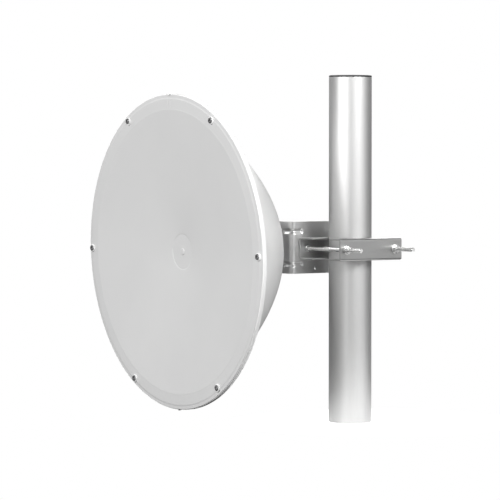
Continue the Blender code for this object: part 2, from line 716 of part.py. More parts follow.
def build_rim_clip(plastic, pivot):
    """A small clip that hooks over the rim's side band at the top."""
    inner = RIM_RADIUS + GAP
    outer = inner + CLIP_THICK
    tip = RIM_RADIUS - CLIP_REACH
    front, rear = -GAP, RIM_DEPTH + GAP
    edge = CLIP_EDGE
    outline = [
        (front - CLIP_HOOK, outer - edge),
        (front - CLIP_HOOK + edge, outer),
        (rear + CLIP_HOOK - edge, outer),
        (rear + CLIP_HOOK, outer - edge),
        (rear + CLIP_HOOK, tip),
        (rear, tip),
        (rear, inner),
        (front, inner),
        (front, tip),
        (front - CLIP_HOOK, tip),
    ]
    points = [(depth - PIVOT_DEPTH, radius + AXIS_OVER_PIVOT) for depth, radius in outline]
    new_object("rim_clip", *prism(points, -CLIP_WIDTH / 2, CLIP_WIDTH / 2, along_x), plastic, pivot)


def build_drain_plug(plastic, pivot):
    """A small mushroom plug pushed up through the rim's side band at the bottom."""
    shank_top = PLUG_HEAD_THICK + GAP + RIM_LIP + PLUG_REACH_INSIDE
    outline = [
        (0.0, 0.0),
        (PLUG_HEAD * PLUG_TIP, 0.0),
        (PLUG_HEAD, PLUG_HEAD_THICK / 2),
        (PLUG_HEAD, PLUG_HEAD_THICK),
        (PLUG_SHANK, PLUG_HEAD_THICK),
        (PLUG_SHANK, shank_top),
        (0.0, shank_top),
    ]
    at = on_dish(0, PLUG_DEPTH, -RIM_RADIUS - GAP - PLUG_HEAD_THICK)
    turned("drain_plug", outline, (0, 0, 1), plastic, pivot, at, SMALL_SEGMENTS)


def main():
    clear_scene()
    mast_steel = make_material("mast_steel", (0.62, 0.62, 0.61), 0.42, 0.6)
    black_plastic = make_material("cap_plastic", (0.20, 0.20, 0.20), 0.5)
    galvanised = make_material("galvanised_steel", (0.42, 0.42, 0.41), 0.38, 0.9)
    zinc = make_material("zinc_plated_steel", (0.70, 0.70, 0.68), 0.28, 1.0)
    aluminium = make_material("cast_aluminium", (0.62, 0.62, 0.62), 0.45, 0.9)
    paint = make_material("white_paint", (0.82, 0.82, 0.81), 0.30)
    cover = make_material("radome_plastic", (0.62, 0.62, 0.62), 0.48)
    dark_steel = make_material("screw_steel", (0.22, 0.22, 0.23), 0.35, 0.9)
    cup_plastic = make_material("cup_plastic", (0.90, 0.90, 0.89), 0.35)

    build_pole(mast_steel, black_plastic)
    build_jaw("inner_jaw", -1, galvanised)
    build_jaw("outer_jaw", 1, galvanised)
    build_rods(zinc)
    build_arm(galvanised)

    pivot = bpy.data.objects.new("elevation_axis", None)
    bpy.context.scene.collection.objects.link(pivot)
    pivot.location = PIVOT
    pivot.rotation_euler = (LOOK_DOWN, 0.0, 0.0)
    build_tilt_bracket(galvanised, pivot)
    build_tilt_bolts(zinc, pivot)
    reflector = build_reflector(paint, pivot)
    radome = build_radome(cover, pivot)
    build_hub(aluminium, zinc, reflector, pivot)
    build_port(aluminium, pivot)
    build_radome_screws((radome, reflector), dark_steel, cup_plastic, pivot)
    build_rim_clip(cup_plastic, pivot)
    build_drain_plug(black_plastic, pivot)
    bpy.context.view_layer.update()


main()
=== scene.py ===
# %% [markdown]
# A microwave dish antenna on a pole
#
# The antenna is a white spun bowl, closed in front by a light grey plastic cover, the radome. A folded steel
# arm carries it beside a pole, and two channel jaws on two rods grip the pole. The solids are loaded first.
# They fix every place and size, and this script lays smooth surfaces with real finishes over them.

# %% Load the solids
import math

import bmesh
import bpy
import numpy as np
from mathutils import Matrix, Vector


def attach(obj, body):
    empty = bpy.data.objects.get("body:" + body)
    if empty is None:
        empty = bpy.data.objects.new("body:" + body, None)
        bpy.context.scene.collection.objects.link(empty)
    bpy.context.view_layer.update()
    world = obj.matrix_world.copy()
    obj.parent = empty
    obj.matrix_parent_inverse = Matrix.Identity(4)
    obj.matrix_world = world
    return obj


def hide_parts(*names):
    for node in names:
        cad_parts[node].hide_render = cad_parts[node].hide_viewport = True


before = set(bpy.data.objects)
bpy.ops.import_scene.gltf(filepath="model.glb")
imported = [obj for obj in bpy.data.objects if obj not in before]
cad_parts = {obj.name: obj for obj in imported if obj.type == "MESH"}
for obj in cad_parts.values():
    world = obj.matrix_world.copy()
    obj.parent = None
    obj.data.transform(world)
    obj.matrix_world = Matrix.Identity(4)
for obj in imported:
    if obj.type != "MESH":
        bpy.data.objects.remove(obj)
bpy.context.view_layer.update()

# %% [markdown]
# Where things are
#
# The pole stands on the origin. The dish is built about its own axis: across, depth behind its front plane,
# and up. It is hung on a pivot behind the bowl and looks down by a small angle, so one function turns the
# dish's own measures into places in the room. Naming these few points once keeps all the pieces in register.

# %% Key places and the dish's own axes
CLAMP_HEIGHT = 0.4050
ARM_HEIGHT = 0.4064
PIVOT = np.array([-0.1627, -0.0883, ARM_HEIGHT])
PIVOT_DEPTH = 0.3020
AXIS_OVER_PIVOT = 0.0016
LOOK_DOWN = math.radians(1.63)
TURN = 2 * math.pi
GAP = 0.0003


def on_dish(across, depth, up):
    """Dish measures to places in the room: shift to the pivot, turn about X by the look-down angle, shift back."""
    across, depth, up = np.broadcast_arrays(across, depth, up)
    y, z = depth - PIVOT_DEPTH, up + AXIS_OVER_PIVOT
    c, s = math.cos(LOOK_DOWN), math.sin(LOOK_DOWN)
    return np.stack([PIVOT[0] + across, PIVOT[1] + c * y - s * z, PIVOT[2] + s * y + c * z], axis=-1)


DISH_FRONT = on_dish(0.0, 0.0, 0.0)
print("middle of the dish's front plane:", np.round(DISH_FRONT, 4))

# %% [markdown]
# The camera
#
# The photograph was taken with a long lens, about 7 m away, from the dish's right front and a touch above.
# A long lens keeps the circle of the rim close to a clean ellipse. The camera looks level along one
# direction and is moved sideways until the dish falls in its place, so the picture needs no lens shift.

# %% Camera
VIEW_AZIMUTH, VIEW_ELEVATION = math.radians(55.577), math.radians(2.053)
VIEW_DISTANCE = 7.04
PHOTO_SIDE = 500
FOCAL_PIXELS = 3047.4
DISH_PIXEL = (172.249, 252.237)
SENSOR = 36.0

sa, ca = math.sin(VIEW_AZIMUTH), math.cos(VIEW_AZIMUTH)
se, ce = math.sin(VIEW_ELEVATION), math.cos(VIEW_ELEVATION)
towards = np.array([sa * ce, -ca * ce, se])
right = np.array([ca, sa, 0.0])
upwards = np.array([-sa * se, ca * se, ce])
metres_per_pixel = VIEW_DISTANCE / FOCAL_PIXELS
slide_right = (PHOTO_SIDE / 2 - DISH_PIXEL[0]) * metres_per_pixel
slide_up = (DISH_PIXEL[1] - PHOTO_SIDE / 2) * metres_per_pixel
eye = DISH_FRONT + VIEW_DISTANCE * towards + slide_right * right + slide_up * upwards

camera_data = bpy.data.cameras.new("camera")
camera_data.sensor_width = SENSOR
camera_data.lens = FOCAL_PIXELS * SENSOR / PHOTO_SIDE
camera = bpy.data.objects.new("camera", camera_data)
bpy.context.scene.collection.objects.link(camera)
pose = np.eye(4)
pose[:3, 0], pose[:3, 1], pose[:3, 2], pose[:3, 3] = right, upwards, towards, eye
camera.matrix_world = Matrix(pose.tolist())
bpy.context.scene.camera = camera
print("lens:", round(camera_data.lens, 1), "mm, camera at", np.round(eye, 2))

# %% [markdown]
# Studio
#
# The product stands in front of a white backdrop. Two broad lamps hang above the camera, one to each side. Each
# draws its own soft highlight down the pole, and both edges of the pole stay grey. The left lamp lights the
# radome and the right one the rim's side band. The room's own light is weak and fades downwards, which leaves
# the underside of the bowl grey. The backdrop is pure white only where it is looked at, or it would flood the
# shadows. The floor is a small pale disc. The plain tone curve keeps white at white.

# %% Room light, lamps and floor
bpy.context.scene.view_settings.view_transform = "Standard"
world = bpy.data.worlds.new("studio")
bpy.context.scene.world = world
world.use_nodes = True
room = world.node_tree
room.nodes.clear()
room_output = room.nodes.new("ShaderNodeOutputWorld")
backdrop = room.nodes.new("ShaderNodeBackground")
backdrop.inputs["Color"].default_value = (1.0, 1.0, 1.0, 1.0)
backdrop.inputs["Strength"].default_value = 1.0
skylight = room.nodes.new("ShaderNodeBackground")
skylight.inputs["Strength"].default_value = 0.13
direction = room.nodes.new("ShaderNodeTexCoord")
height = room.nodes.new("ShaderNodeSeparateXYZ")
room.links.new(direction.outputs["Generated"], height.inputs["Vector"])
falloff = room.nodes.new("ShaderNodeMapRange")
falloff.inputs["From Min"].default_value = -0.6
falloff.inputs["From Max"].default_value = 0.2
falloff.inputs["To Min"].default_value = 0.50
falloff.inputs["To Max"].default_value = 1.0
room.links.new(height.outputs["Z"], falloff.inputs["Value"])
room.links.new(falloff.outputs["Result"], skylight.inputs["Color"])
seen = room.nodes.new("ShaderNodeLightPath")
choice = room.nodes.new("ShaderNodeMixShader")
room.links.new(seen.outputs["Is Camera Ray"], choice.inputs["Fac"])
room.links.new(skylight.outputs["Background"], choice.inputs[1])
room.links.new(backdrop.outputs["Background"], choice.inputs[2])
room.links.new(choice.outputs["Shader"], room_output.inputs["Surface"])

SUBJECT = np.array([-0.08, -0.2, 0.40])


LAMP_DISTANCE = 8.0


def soft_lamp(name, to_right, up, size, power):
    """A lamp (width, height) aimed at the antenna, turned to the camera's right and up by angles in degrees."""
    lamp_data = bpy.data.lights.new(name, "AREA")
    lamp_data.shape = "RECTANGLE"
    lamp_data.size, lamp_data.size_y = size
    lamp_data.energy = power
    lamp = bpy.data.objects.new(name, lamp_data)
    bpy.context.scene.collection.objects.link(lamp)
    azimuth, elevation = VIEW_AZIMUTH + math.radians(to_right), math.radians(up)
    level = math.cos(elevation)
    way = np.array([math.sin(azimuth) * level, -math.cos(azimuth) * level, math.sin(elevation)])
    spot = SUBJECT + LAMP_DISTANCE * way
    aim = Vector(spot - SUBJECT).to_track_quat("Z", "Y").to_matrix().to_4x4()
    lamp.matrix_world = Matrix.Translation(Vector(spot)) @ aim


soft_lamp("left_key", -46.0, 22.0, (3.0, 3.0), 485)
soft_lamp("left_strip", -21.0, 7.0, (2.4, 6.0), 140)
soft_lamp("right_strip", 21.0, 14.0, (2.4, 5.2), 86)
soft_lamp("right_key", 48.0, 30.0, (3.0, 3.0), 440)
soft_lamp("side_panel", 66.0, 2.0, (6.5, 6.0), 95)
soft_lamp("rear_left", -135.0, 32.0, (2.8, 2.8), 130)
soft_lamp("rear", 165.0, 28.0, (4.0, 4.0), 240)


FLOOR_RADIUS = 0.34
FLOOR_MIDDLE = np.array([0.03, 0.05])
FLOOR_SIDES = 96
bend = TURN * np.arange(FLOOR_SIDES) / FLOOR_SIDES
rim_points = np.stack([
    FLOOR_MIDDLE[0] + FLOOR_RADIUS * np.cos(bend),
    FLOOR_MIDDLE[1] + FLOOR_RADIUS * np.sin(bend),
    np.full(FLOOR_SIDES, -0.002),
], axis=1)
floor_mesh = bpy.data.meshes.new("floor")
floor_mesh.from_pydata(rim_points.tolist(), [], [list(range(FLOOR_SIDES))])
floor = bpy.data.objects.new("floor", floor_mesh)
bpy.context.scene.collection.objects.link(floor)
floor_material = bpy.data.materials.new("floor")
floor_material.use_nodes = True
floor_shader = floor_material.node_tree.nodes["Principled BSDF"]
floor_shader.inputs["Base Color"].default_value = (0.93, 0.93, 0.93, 1.0)
floor_shader.inputs["Roughness"].default_value = 0.9
floor_shader.inputs["Emission Color"].default_value = (1.0, 1.0, 1.0, 1.0)
floor_shader.inputs["Emission Strength"].default_value = 0.75
floor_mesh.materials.append(floor_material)
floor.visible_diffuse = False
print("lamps:", len(bpy.data.lights), "floor radius:", FLOOR_RADIUS, "m")

# %% [markdown]
# Finishes
#
# Every finish is made of the same few layers: a broad cloudiness, a fine grain that changes colour and gloss
# a little, and the grain pressed into the surface as a very shallow bump. Only sizes and strengths differ.
# Powder coat has an orange peel of about 2 mm, galvanised sheet a fine grain drawn out in one direction, a rolled tube
# long streaks.
# The patterns are read in object coordinates, so they stay on the piece when a joint moves it.

# %% A maker of layered finishes


def finish(name, dark, light, rough, metallic, grain_size, bump, stretch=(1.0, 1.0, 1.0), flakes=False, coat=0.0):
    """dark and light bound the colour, rough = (lowest, highest), grain_size and bump are in metres."""
    material = bpy.data.materials.new(name)
    material.use_nodes = True
    nodes, links = material.node_tree.nodes, material.node_tree.links
    shader = nodes["Principled BSDF"]
    shader.inputs["Metallic"].default_value = metallic
    shader.inputs["Coat Weight"].default_value = coat
    coordinates = nodes.new("ShaderNodeTexCoord")
    placing = nodes.new("ShaderNodeMapping")
    placing.inputs["Scale"].default_value = stretch
    links.new(coordinates.outputs["Object"], placing.inputs["Vector"])

    clouds = nodes.new("ShaderNodeTexNoise")
    clouds.inputs["Scale"].default_value = 9.0
    clouds.inputs["Detail"].default_value = 4.0
    links.new(placing.outputs["Vector"], clouds.inputs["Vector"])
    if flakes:
        grain = nodes.new("ShaderNodeTexVoronoi")
        grain.inputs["Scale"].default_value = 1 / grain_size
        grain_value = grain.outputs["Color"]
    else:
        grain = nodes.new("ShaderNodeTexNoise")
        grain.inputs["Scale"].default_value = 1 / grain_size
        grain.inputs["Detail"].default_value = 5.0
        grain.inputs["Roughness"].default_value = 0.62
        grain_value = grain.outputs["Fac"]
    links.new(placing.outputs["Vector"], grain.inputs["Vector"])

    blend = nodes.new("ShaderNodeMix")
    blend.data_type = "FLOAT"
    blend.inputs["Factor"].default_value = 0.45
    links.new(clouds.outputs["Fac"], blend.inputs["A"])
    links.new(grain_value, blend.inputs["B"])
    tint = nodes.new("ShaderNodeValToRGB")
    tint.color_ramp.elements[0].position = 0.32
    tint.color_ramp.elements[0].color = (*dark, 1.0)
    tint.color_ramp.elements[1].position = 0.68
    tint.color_ramp.elements[1].color = (*light, 1.0)
    links.new(blend.outputs["Result"], tint.inputs["Fac"])
    links.new(tint.outputs["Color"], shader.inputs["Base Color"])

    gloss = nodes.new("ShaderNodeMapRange")
    gloss.inputs["From Min"].default_value = 0.3
    gloss.inputs["From Max"].default_value = 0.7
    gloss.inputs["To Min"].default_value = rough[0]
    gloss.inputs["To Max"].default_value = rough[1]
    links.new(blend.outputs["Result"], gloss.inputs["Value"])
    links.new(gloss.outputs["Result"], shader.inputs["Roughness"])

    relief = nodes.new("ShaderNodeBump")
    relief.inputs["Strength"].default_value = 0.5
    relief.inputs["Distance"].default_value = bump
    links.new(grain_value, relief.inputs["Height"])
    links.new(relief.outputs["Normal"], shader.inputs["Normal"])
    return material


LONG = (1.0, 1.0, 0.12)
LONG_ALONG = (1.0, 0.25, 1.0)
mast_steel = finish("mast_steel", (0.58, 0.58, 0.58), (0.63, 0.63, 0.625), (0.46, 0.54), 0.80, 0.004, 0.00004, LONG)
cap_plastic = finish("cap_plastic", (0.035, 0.035, 0.037), (0.055, 0.055, 0.055), (0.5, 0.65), 0.0, 0.0012, 0.00008)
galvanised = finish(
    "galvanised_steel", (0.35, 0.35, 0.35), (0.39, 0.39, 0.385), (0.30, 0.36), 0.92, 0.0016, 0.000002, LONG_ALONG
)
bright_plate = finish(
    "bright_galvanised", (0.64, 0.64, 0.64), (0.68, 0.68, 0.675), (0.34, 0.39), 0.97, 0.0016, 0.000002, LONG_ALONG
)
zinc_plated = finish("zinc_plated_steel", (0.76, 0.76, 0.755), (0.84, 0.84, 0.835), (0.20, 0.26), 1.0, 0.0012, 0.000002)
cast_aluminium = finish("cast_aluminium", (0.50, 0.50, 0.51), (0.60, 0.60, 0.61), (0.42, 0.58), 0.9, 0.0015, 0.00012)
white_paint = finish(
    "white_paint", (0.86, 0.86, 0.855), (0.90, 0.90, 0.895), (0.26, 0.36), 0.0, 0.0022, 0.00006, coat=0.25
)
radome_plastic = finish(
    "radome_plastic", (0.640, 0.640, 0.640), (0.666, 0.666, 0.664), (0.46, 0.56), 0.0, 0.0011, 0.00004
)
screw_steel = finish("screw_steel", (0.26, 0.26, 0.265), (0.34, 0.34, 0.345), (0.24, 0.36), 0.7, 0.0010, 0.00003)
cup_plastic = finish("cup_plastic", (0.88, 0.88, 0.875), (0.92, 0.92, 0.915), (0.28, 0.38), 0.0, 0.0015, 0.00002)
print("finishes:", sum(m.users >= 0 for m in bpy.data.materials))

# %% [markdown]
# Shapes from numbers
#
# Nearly everything here is spun, turned or folded, so a few formulas make all of it. A spun piece is a profile
# of radius and height swept once round an axis. A folded sheet is a grid with two faces, whose free edges are
# closed by walls. Corners are real arcs, because a soft edge catches a thin line of light that a sharp one can't.

# %% Grid, arc, spinning and sheet helpers


def grid_faces(rows, columns, wrap_rows=False, wrap_columns=True):
    """Four-sided faces of a grid of points counted row by row, joined up to a ring where it wraps."""
    r = np.arange(rows if wrap_rows else rows - 1)[:, None]
    c = np.arange(columns if wrap_columns else columns - 1)[None, :]
    r2, c2 = (r + 1) % rows, (c + 1) % columns
    corners = np.broadcast_arrays(r * columns + c, r * columns + c2, r2 * columns + c2, r2 * columns + c)
    return np.stack(corners, axis=-1).reshape(-1, 4)


def rounded(corners, radii, steps=5, closed=True):
    """Replace each corner of a flat outline by an arc of its radius.

    The arc touches both edges at radius * tan(half the turn) from the corner. Between these two points A and C,
    with the corner B, it is the weighted curve ((1-s)^2 A + 2w s(1-s) B + s^2 C) / ((1-s)^2 + 2w s(1-s) + s^2)
    with w the cosine of half the turn, which is exactly a circle.
    """
    b = np.asarray(corners, float)
    radius = np.broadcast_to(np.asarray(radii, float), (len(b),))[:, None]
    before, after = np.roll(b, 1, axis=0) - b, np.roll(b, -1, axis=0) - b
    before /= np.maximum(np.linalg.norm(before, axis=1, keepdims=True), 1e-9)
    after /= np.maximum(np.linalg.norm(after, axis=1, keepdims=True), 1e-9)
    turn = np.pi - np.arccos(np.clip((before * after).sum(axis=1, keepdims=True), -1.0, 1.0))
    if not closed:
        radius = radius.copy()
        radius[[0, -1]] = 0.0
    cut = radius * np.tan(turn / 2)
    a, c, w = b + cut * before, b + cut * after, np.cos(turn / 2)[:, :, None]
    s = np.linspace(0.0, 1.0, steps + 1)[None, :, None]
    weight = (1 - s) ** 2 + 2 * w * s * (1 - s) + s**2
    curve = ((1 - s) ** 2 * a[:, None] + 2 * w * s * (1 - s) * b[:, None] + s**2 * c[:, None]) / weight
    points = curve.reshape(-1, 2)
    apart = np.linalg.norm(points - np.roll(points, 1, axis=0), axis=1) > 1e-7
    if not closed:
        apart[0] = True
    return points[apart]


def refined(profile, longest):
    """Add points along a profile so that no step is longer than the given length."""
    profile = np.asarray(profile, float)
    pieces = np.maximum(np.ceil(np.linalg.norm(np.diff(profile, axis=0), axis=1) / longest).astype(int), 1)
    places = np.concatenate([[0.0], np.repeat(np.arange(len(pieces)) + 1.0, pieces)])
    starts = np.repeat(np.concatenate([[0], np.cumsum(pieces)[:-1]]), pieces)
    inside = (np.arange(pieces.sum()) - starts + 1) / np.repeat(pieces, pieces)
    places[1:] = np.repeat(np.arange(len(pieces)), pieces) + inside
    order = np.arange(len(profile))
    return np.stack([np.interp(places, order, profile[:, 0]), np.interp(places, order, profile[:, 1])], axis=1)


def spun(profile, segments, place, flats=None, corner=0.0):
    """Sweep a profile of (radius, height) once round its axis; place(a, b, height) gives the points in the room.

    Where flats is given for a row, its radius is no more than that of a hexagon of that width across flats:
    half the width over the cosine of the angle from the middle of the nearest side. A profile that starts and
    ends on the axis is closed by two poles, and any other one closes on itself as a ring.
    """
    profile = np.asarray(profile, float)
    solid = profile[0, 0] == 0.0
    angle = TURN * np.arange(segments) / segments
    radius = np.repeat(profile[:, :1], segments, axis=1)
    if flats is not None:
        fold = np.mod(angle - corner, TURN / 6) - TURN / 12
        radius = np.minimum(radius, np.asarray(flats, float)[:, None] / 2 / np.cos(fold))
    along = np.repeat(profile[:, 1:], segments, axis=1)
    grid = place(radius * np.cos(angle), radius * np.sin(angle), along)
    if not solid:
        return grid.reshape(-1, 3), [grid_faces(len(profile), segments, wrap_rows=True)]
    points = grid[1:-1].reshape(-1, 3)
    around = np.arange(segments)
    onward = (around + 1) % segments
    last = len(points) - segments
    faces = [grid_faces(len(profile) - 2, segments)]
    faces.append(np.stack([np.full(segments, len(points)), onward, around], axis=1))
    faces.append(np.stack([np.full(segments, len(points) + 1), last + around, last + onward], axis=1))
    return np.vstack([points, grid[[0, -1], 0]]), faces


def two_faced(outer, inner, keep=None):
    """A sheet from two matching grids of points. Cells not kept are holes, and all free edges get walls."""
    rows, columns = outer.shape[:2]
    count = rows * columns
    index = np.arange(count).reshape(rows, columns)
    a, b, c, d = index[:-1, :-1], index[1:, :-1], index[1:, 1:], index[:-1, 1:]
    if keep is None:
        keep = np.ones(a.shape, bool)
    cells = np.stack([a, b, c, d], axis=-1)[keep]
    around = np.pad(keep, 1)
    faces = [cells, cells[:, ::-1] + count]
    for beyond, p, q in (
        (around[:-2, 1:-1], a, d),
        (around[2:, 1:-1], b, c),
        (around[1:-1, :-2], a, b),
        (around[1:-1, 2:], d, c),
    ):
        edge = keep & ~beyond
        faces.append(np.stack([p[edge], q[edge], q[edge] + count, p[edge] + count], axis=1))
    return np.vstack([outer.reshape(-1, 3), inner.reshape(-1, 3)]), faces


def pushed(outline, low, high, place):
    """A flat outline pushed from low to high, closed by its two end faces; place(u, v, w) gives the points."""
    outline = np.asarray(outline, float)
    u, v = outline[:, 0], outline[:, 1]
    points = np.vstack([place(u, v, np.full(len(u), low)), place(u, v, np.full(len(u), high))])
    count = np.arange(len(u))
    return points, [grid_faces(2, len(u)), count[None, ::-1], count[None, :] + len(u)]


def show(name, parts, material, body, nodes, edge=0.0):
    """Make one piece of closed parts, ride it on its body, and let it stand for the solids named."""
    points = np.vstack([part[0] for part in parts])
    starts = np.cumsum([0] + [len(part[0]) for part in parts[:-1]])
    groups = [faces + start for part, start in zip(parts, starts) for faces in part[1]]
    used = np.unique(np.concatenate([group.ravel() for group in groups]))
    lookup = np.zeros(len(points), int)
    lookup[used] = np.arange(len(used))
    mesh = bpy.data.meshes.new(name)
    mesh.from_pydata(points[used].tolist(), [], [face for group in groups for face in lookup[group].tolist()])
    welded = bmesh.new()
    welded.from_mesh(mesh)
    bmesh.ops.remove_doubles(welded, verts=welded.verts, dist=1e-7)
    bmesh.ops.recalc_face_normals(welded, faces=welded.faces)
    welded.to_mesh(mesh)
    welded.free()
    mesh.shade_smooth()
    mesh.set_sharp_from_angle(angle=math.radians(38))
    mesh.materials.append(material)
    piece = bpy.data.objects.new(name, mesh)
    bpy.context.scene.collection.objects.link(piece)
    if edge:
        bevel = piece.modifiers.new("soft_edges", "BEVEL")
        bevel.width = edge
        bevel.segments = 2
        bevel.limit_method = "ANGLE"
        bevel.angle_limit = math.radians(38)
        bevel.harden_normals = True
    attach(piece, body)
    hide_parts(*nodes)
    return piece


check_arc = rounded([(0, 0), (1, 0), (1, 1), (0, 1)], 0.25)
print("helper check, a unit square with round corners has", len(check_arc), "points")

# %% [markdown]
# The bowl
#
# The reflector is spun from one aluminium disc: a flat seat in the middle for the hub, a paraboloid, a flat
# flange that carries the radome, and a rim that is turned back over a soft shoulder into a side band 13 mm deep.
# Depth = apex depth - r^2 / (4 f) gives the paraboloid.

# %% Reflector
RIM_RADIUS = 0.3650
RIM_DEPTH = 0.0130
RIM_LIP = 0.0025
RADOME_SHEET = 0.0030
FOUR_F = 0.4440
APEX = 0.2600
SHEET = 0.0025
SEAT = 0.0600
HUB_BORE = 0.0205
DISH_SEGMENTS = 288


def bowl_depth(radius):
    """Depth of the bowl's outer face: a paraboloid."""
    return APEX - radius**2 / FOUR_F


def bowl_profile(start, end, count, inset):
    """The paraboloid between two radii, moved inwards along its normal by inset."""
    radius = np.linspace(start, end, count)
    slope = -2 * radius / FOUR_F
    length = np.hypot(1.0, slope)
    return np.stack([radius + inset * slope / length, bowl_depth(radius) - inset / length], axis=1)


flange_front = RADOME_SHEET + GAP
flange_back = flange_front + SHEET
bowl_edge = math.sqrt(FOUR_F * (APEX - flange_back))
seat_depth = bowl_depth(SEAT)
inner_face = bowl_profile(SEAT, bowl_edge, 40, SHEET)
outer_face = bowl_profile(SEAT, bowl_edge, 40, 0.0)[::-1]
inner_face[0, 1] = seat_depth - SHEET
inner_face[-1, 1] = flange_front
rim_corners = np.array([
    (RIM_RADIUS - 0.0100, flange_front),
    (RIM_RADIUS, flange_front),
    (RIM_RADIUS, RIM_DEPTH),
    (RIM_RADIUS - RIM_LIP, RIM_DEPTH),
    (RIM_RADIUS - RIM_LIP, flange_back),
    (bowl_edge + 0.0030, flange_back),
])
rim_radii = [0.0, 0.0015, 0.0010, 0.0010, 0.0010, 0.0]
rim_profile = rounded(rim_corners, rim_radii, 7, closed=False)
middle = np.array([(SEAT - 0.004, seat_depth), (HUB_BORE, seat_depth), (HUB_BORE, seat_depth - SHEET)])
reflector_profile = np.vstack([middle, inner_face, rim_profile, outer_face])


def dish_place(a, b, depth):
    """Points of a piece spun about the dish's own axis."""
    return on_dish(a, depth, b)


show(
    "spun_bowl", [spun(reflector_profile, DISH_SEGMENTS, dish_place)],
    white_paint, "dish", ["reflector"],
)
print("reflector profile:", len(reflector_profile), "points, bowl edge radius", round(bowl_edge, 4))

# %% [markdown]
# The radome
#
# One moulded cover of glass-filled plastic. Its flat border is screwed to the bowl's flange, the middle dips
# back in a shallow cone so that rain and wind find a stiff shape, and a flat boss closes the cone's tip.
# The border falls away outwards by about a degree, so a soft ridge stands between border and cone. It catches
# the light as a faint ring. Outside a bevel the cover thins to a lip that lies on the bowl's flange out to its
# edge. Two short raised marks on the border point to the top.

# %% Radome with its marks
BEVEL_START = 0.3535
BORDER_FALL = 0.0006
RING_STEP = 0.0002
BEVEL_END, LIP_DEPTH = 0.3570, 0.0018
LIP_RADIUS = 0.3637
BORDER_INNER = 0.3290
HOLLOW = 0.0285
BOSS = 0.0420
NUB = 0.0080
STEP = 0.0015

radome_corners = [
    (0.0, HOLLOW - STEP),
    (NUB - 0.0010, HOLLOW - STEP),
    (NUB, HOLLOW),
    (BOSS - STEP, HOLLOW),
    (BOSS, HOLLOW - STEP / 2),
    (BORDER_INNER, 0.0),
    (BORDER_INNER + 0.0024, RING_STEP),
    (BEVEL_START, BORDER_FALL),
    (BEVEL_END, LIP_DEPTH),
    (LIP_RADIUS, LIP_DEPTH + 0.0002),
    (LIP_RADIUS, RADOME_SHEET),
    (BORDER_INNER - STEP, RADOME_SHEET),
    (BOSS, HOLLOW + RADOME_SHEET - STEP / 2),
    (BOSS - STEP, HOLLOW + RADOME_SHEET),
    (0.0, HOLLOW + RADOME_SHEET),
]
radome_radii = [0, 0.0006, 0.0006, 0.001, 0.001, 0.003, 0.002, 0.0015, 0.0015, 0.0006, 0.0002, 0.002, 0.001, 0.001, 0]
radome_profile = refined(rounded(radome_corners, radome_radii, 5, closed=False), 0.012)

MARK_OFFSET = 0.0045
MARK_WIDTH = 0.0014
MARK_PROUD = 0.0003
MARK_LOW, MARK_HIGH = BORDER_INNER + 0.0030, BEVEL_START - 0.0025


def border_depth(radius):
    """Depth of the sloping border between its inner edge and the start of the bevel."""
    return RING_STEP + (BORDER_FALL - RING_STEP) * (radius - BORDER_INNER) / (BEVEL_START - BORDER_INNER)


def raised_mark(side):
    """A low ridge on the border: a long rounded outline pushed forwards from just inside the face."""
    left, far = side * MARK_OFFSET - MARK_WIDTH / 2, side * MARK_OFFSET + MARK_WIDTH / 2
    outline = rounded([(left, MARK_LOW), (far, MARK_LOW), (far, MARK_HIGH), (left, MARK_HIGH)], 0.0006)
    return pushed(outline, MARK_PROUD, -MARK_PROUD, lambda u, v, w: on_dish(u, border_depth(v) + w, v))


cover = spun(radome_profile, DISH_SEGMENTS, dish_place)
show("radome_cover", [cover, raised_mark(-1), raised_mark(1)], radome_plastic, "dish", ["radome"])
print("radome profile:", len(radome_profile), "points")

# %% [markdown]
# Radome screws
#
# Six broad socket screws each press a white washer on the cover. The head stands proud of the washer and has a
# rounded edge and a hexagon socket, so its profile has rows that are limited by a hexagon across flats and rows
# that aren't. The washer is thin, with a shallow seat for the head.

# %% Six washers and their socket screws
SCREW_CIRCLE = 0.3500
SCREWS = 6
WASHER_EDGE, WASHER_FRONT, WASHER_SEAT, WASHER_FOOT = 0.0090, -0.0026, -0.0012, 0.0019
HEAD, HEAD_FRONT, HEAD_EDGE = 0.0066, -0.0046, 0.0010
SOCKET, SOCKET_DEPTH = 0.0060, 0.0020
SHANK, SHANK_END = 0.0020, 0.0087
NO_FLATS = 1.0

washer_profile = rounded(
    [
        (SHANK + GAP, WASHER_FOOT),
        (WASHER_EDGE, WASHER_FOOT),
        (WASHER_EDGE, WASHER_FRONT),
        (HEAD + 0.0004, WASHER_FRONT),
        (HEAD + 0.0004, WASHER_SEAT),
        (SHANK + GAP, WASHER_SEAT),
    ],
    [0.0, 0.0003, 0.0012, 0.0003, 0.0003, 0.0],
)
head_seat = WASHER_SEAT - GAP
socket_floor = HEAD_FRONT + SOCKET_DEPTH
socket_wall = 0.58 * SOCKET
edge_turn = np.linspace(0.0, math.pi / 2, 6)
edge_rows = np.column_stack([
    HEAD - HEAD_EDGE * (1 - np.sin(edge_turn)), HEAD_FRONT + HEAD_EDGE * (1 - np.cos(edge_turn)), np.full(6, NO_FLATS),
])
head_rows = np.vstack([
    [
        (0.0, socket_floor, NO_FLATS),
        (socket_wall, socket_floor, SOCKET),
        (socket_wall, HEAD_FRONT + 0.0003, SOCKET),
        (socket_wall, HEAD_FRONT, SOCKET * 1.07),
        (0.64 * SOCKET, HEAD_FRONT, NO_FLATS),
    ],
    edge_rows,
    [
        (HEAD, head_seat, NO_FLATS),
        (SHANK, head_seat, NO_FLATS),
        (SHANK, SHANK_END - 0.0008, NO_FLATS),
        (SHANK - 0.0006, SHANK_END, NO_FLATS),
        (0.0, SHANK_END, NO_FLATS),
    ],
])
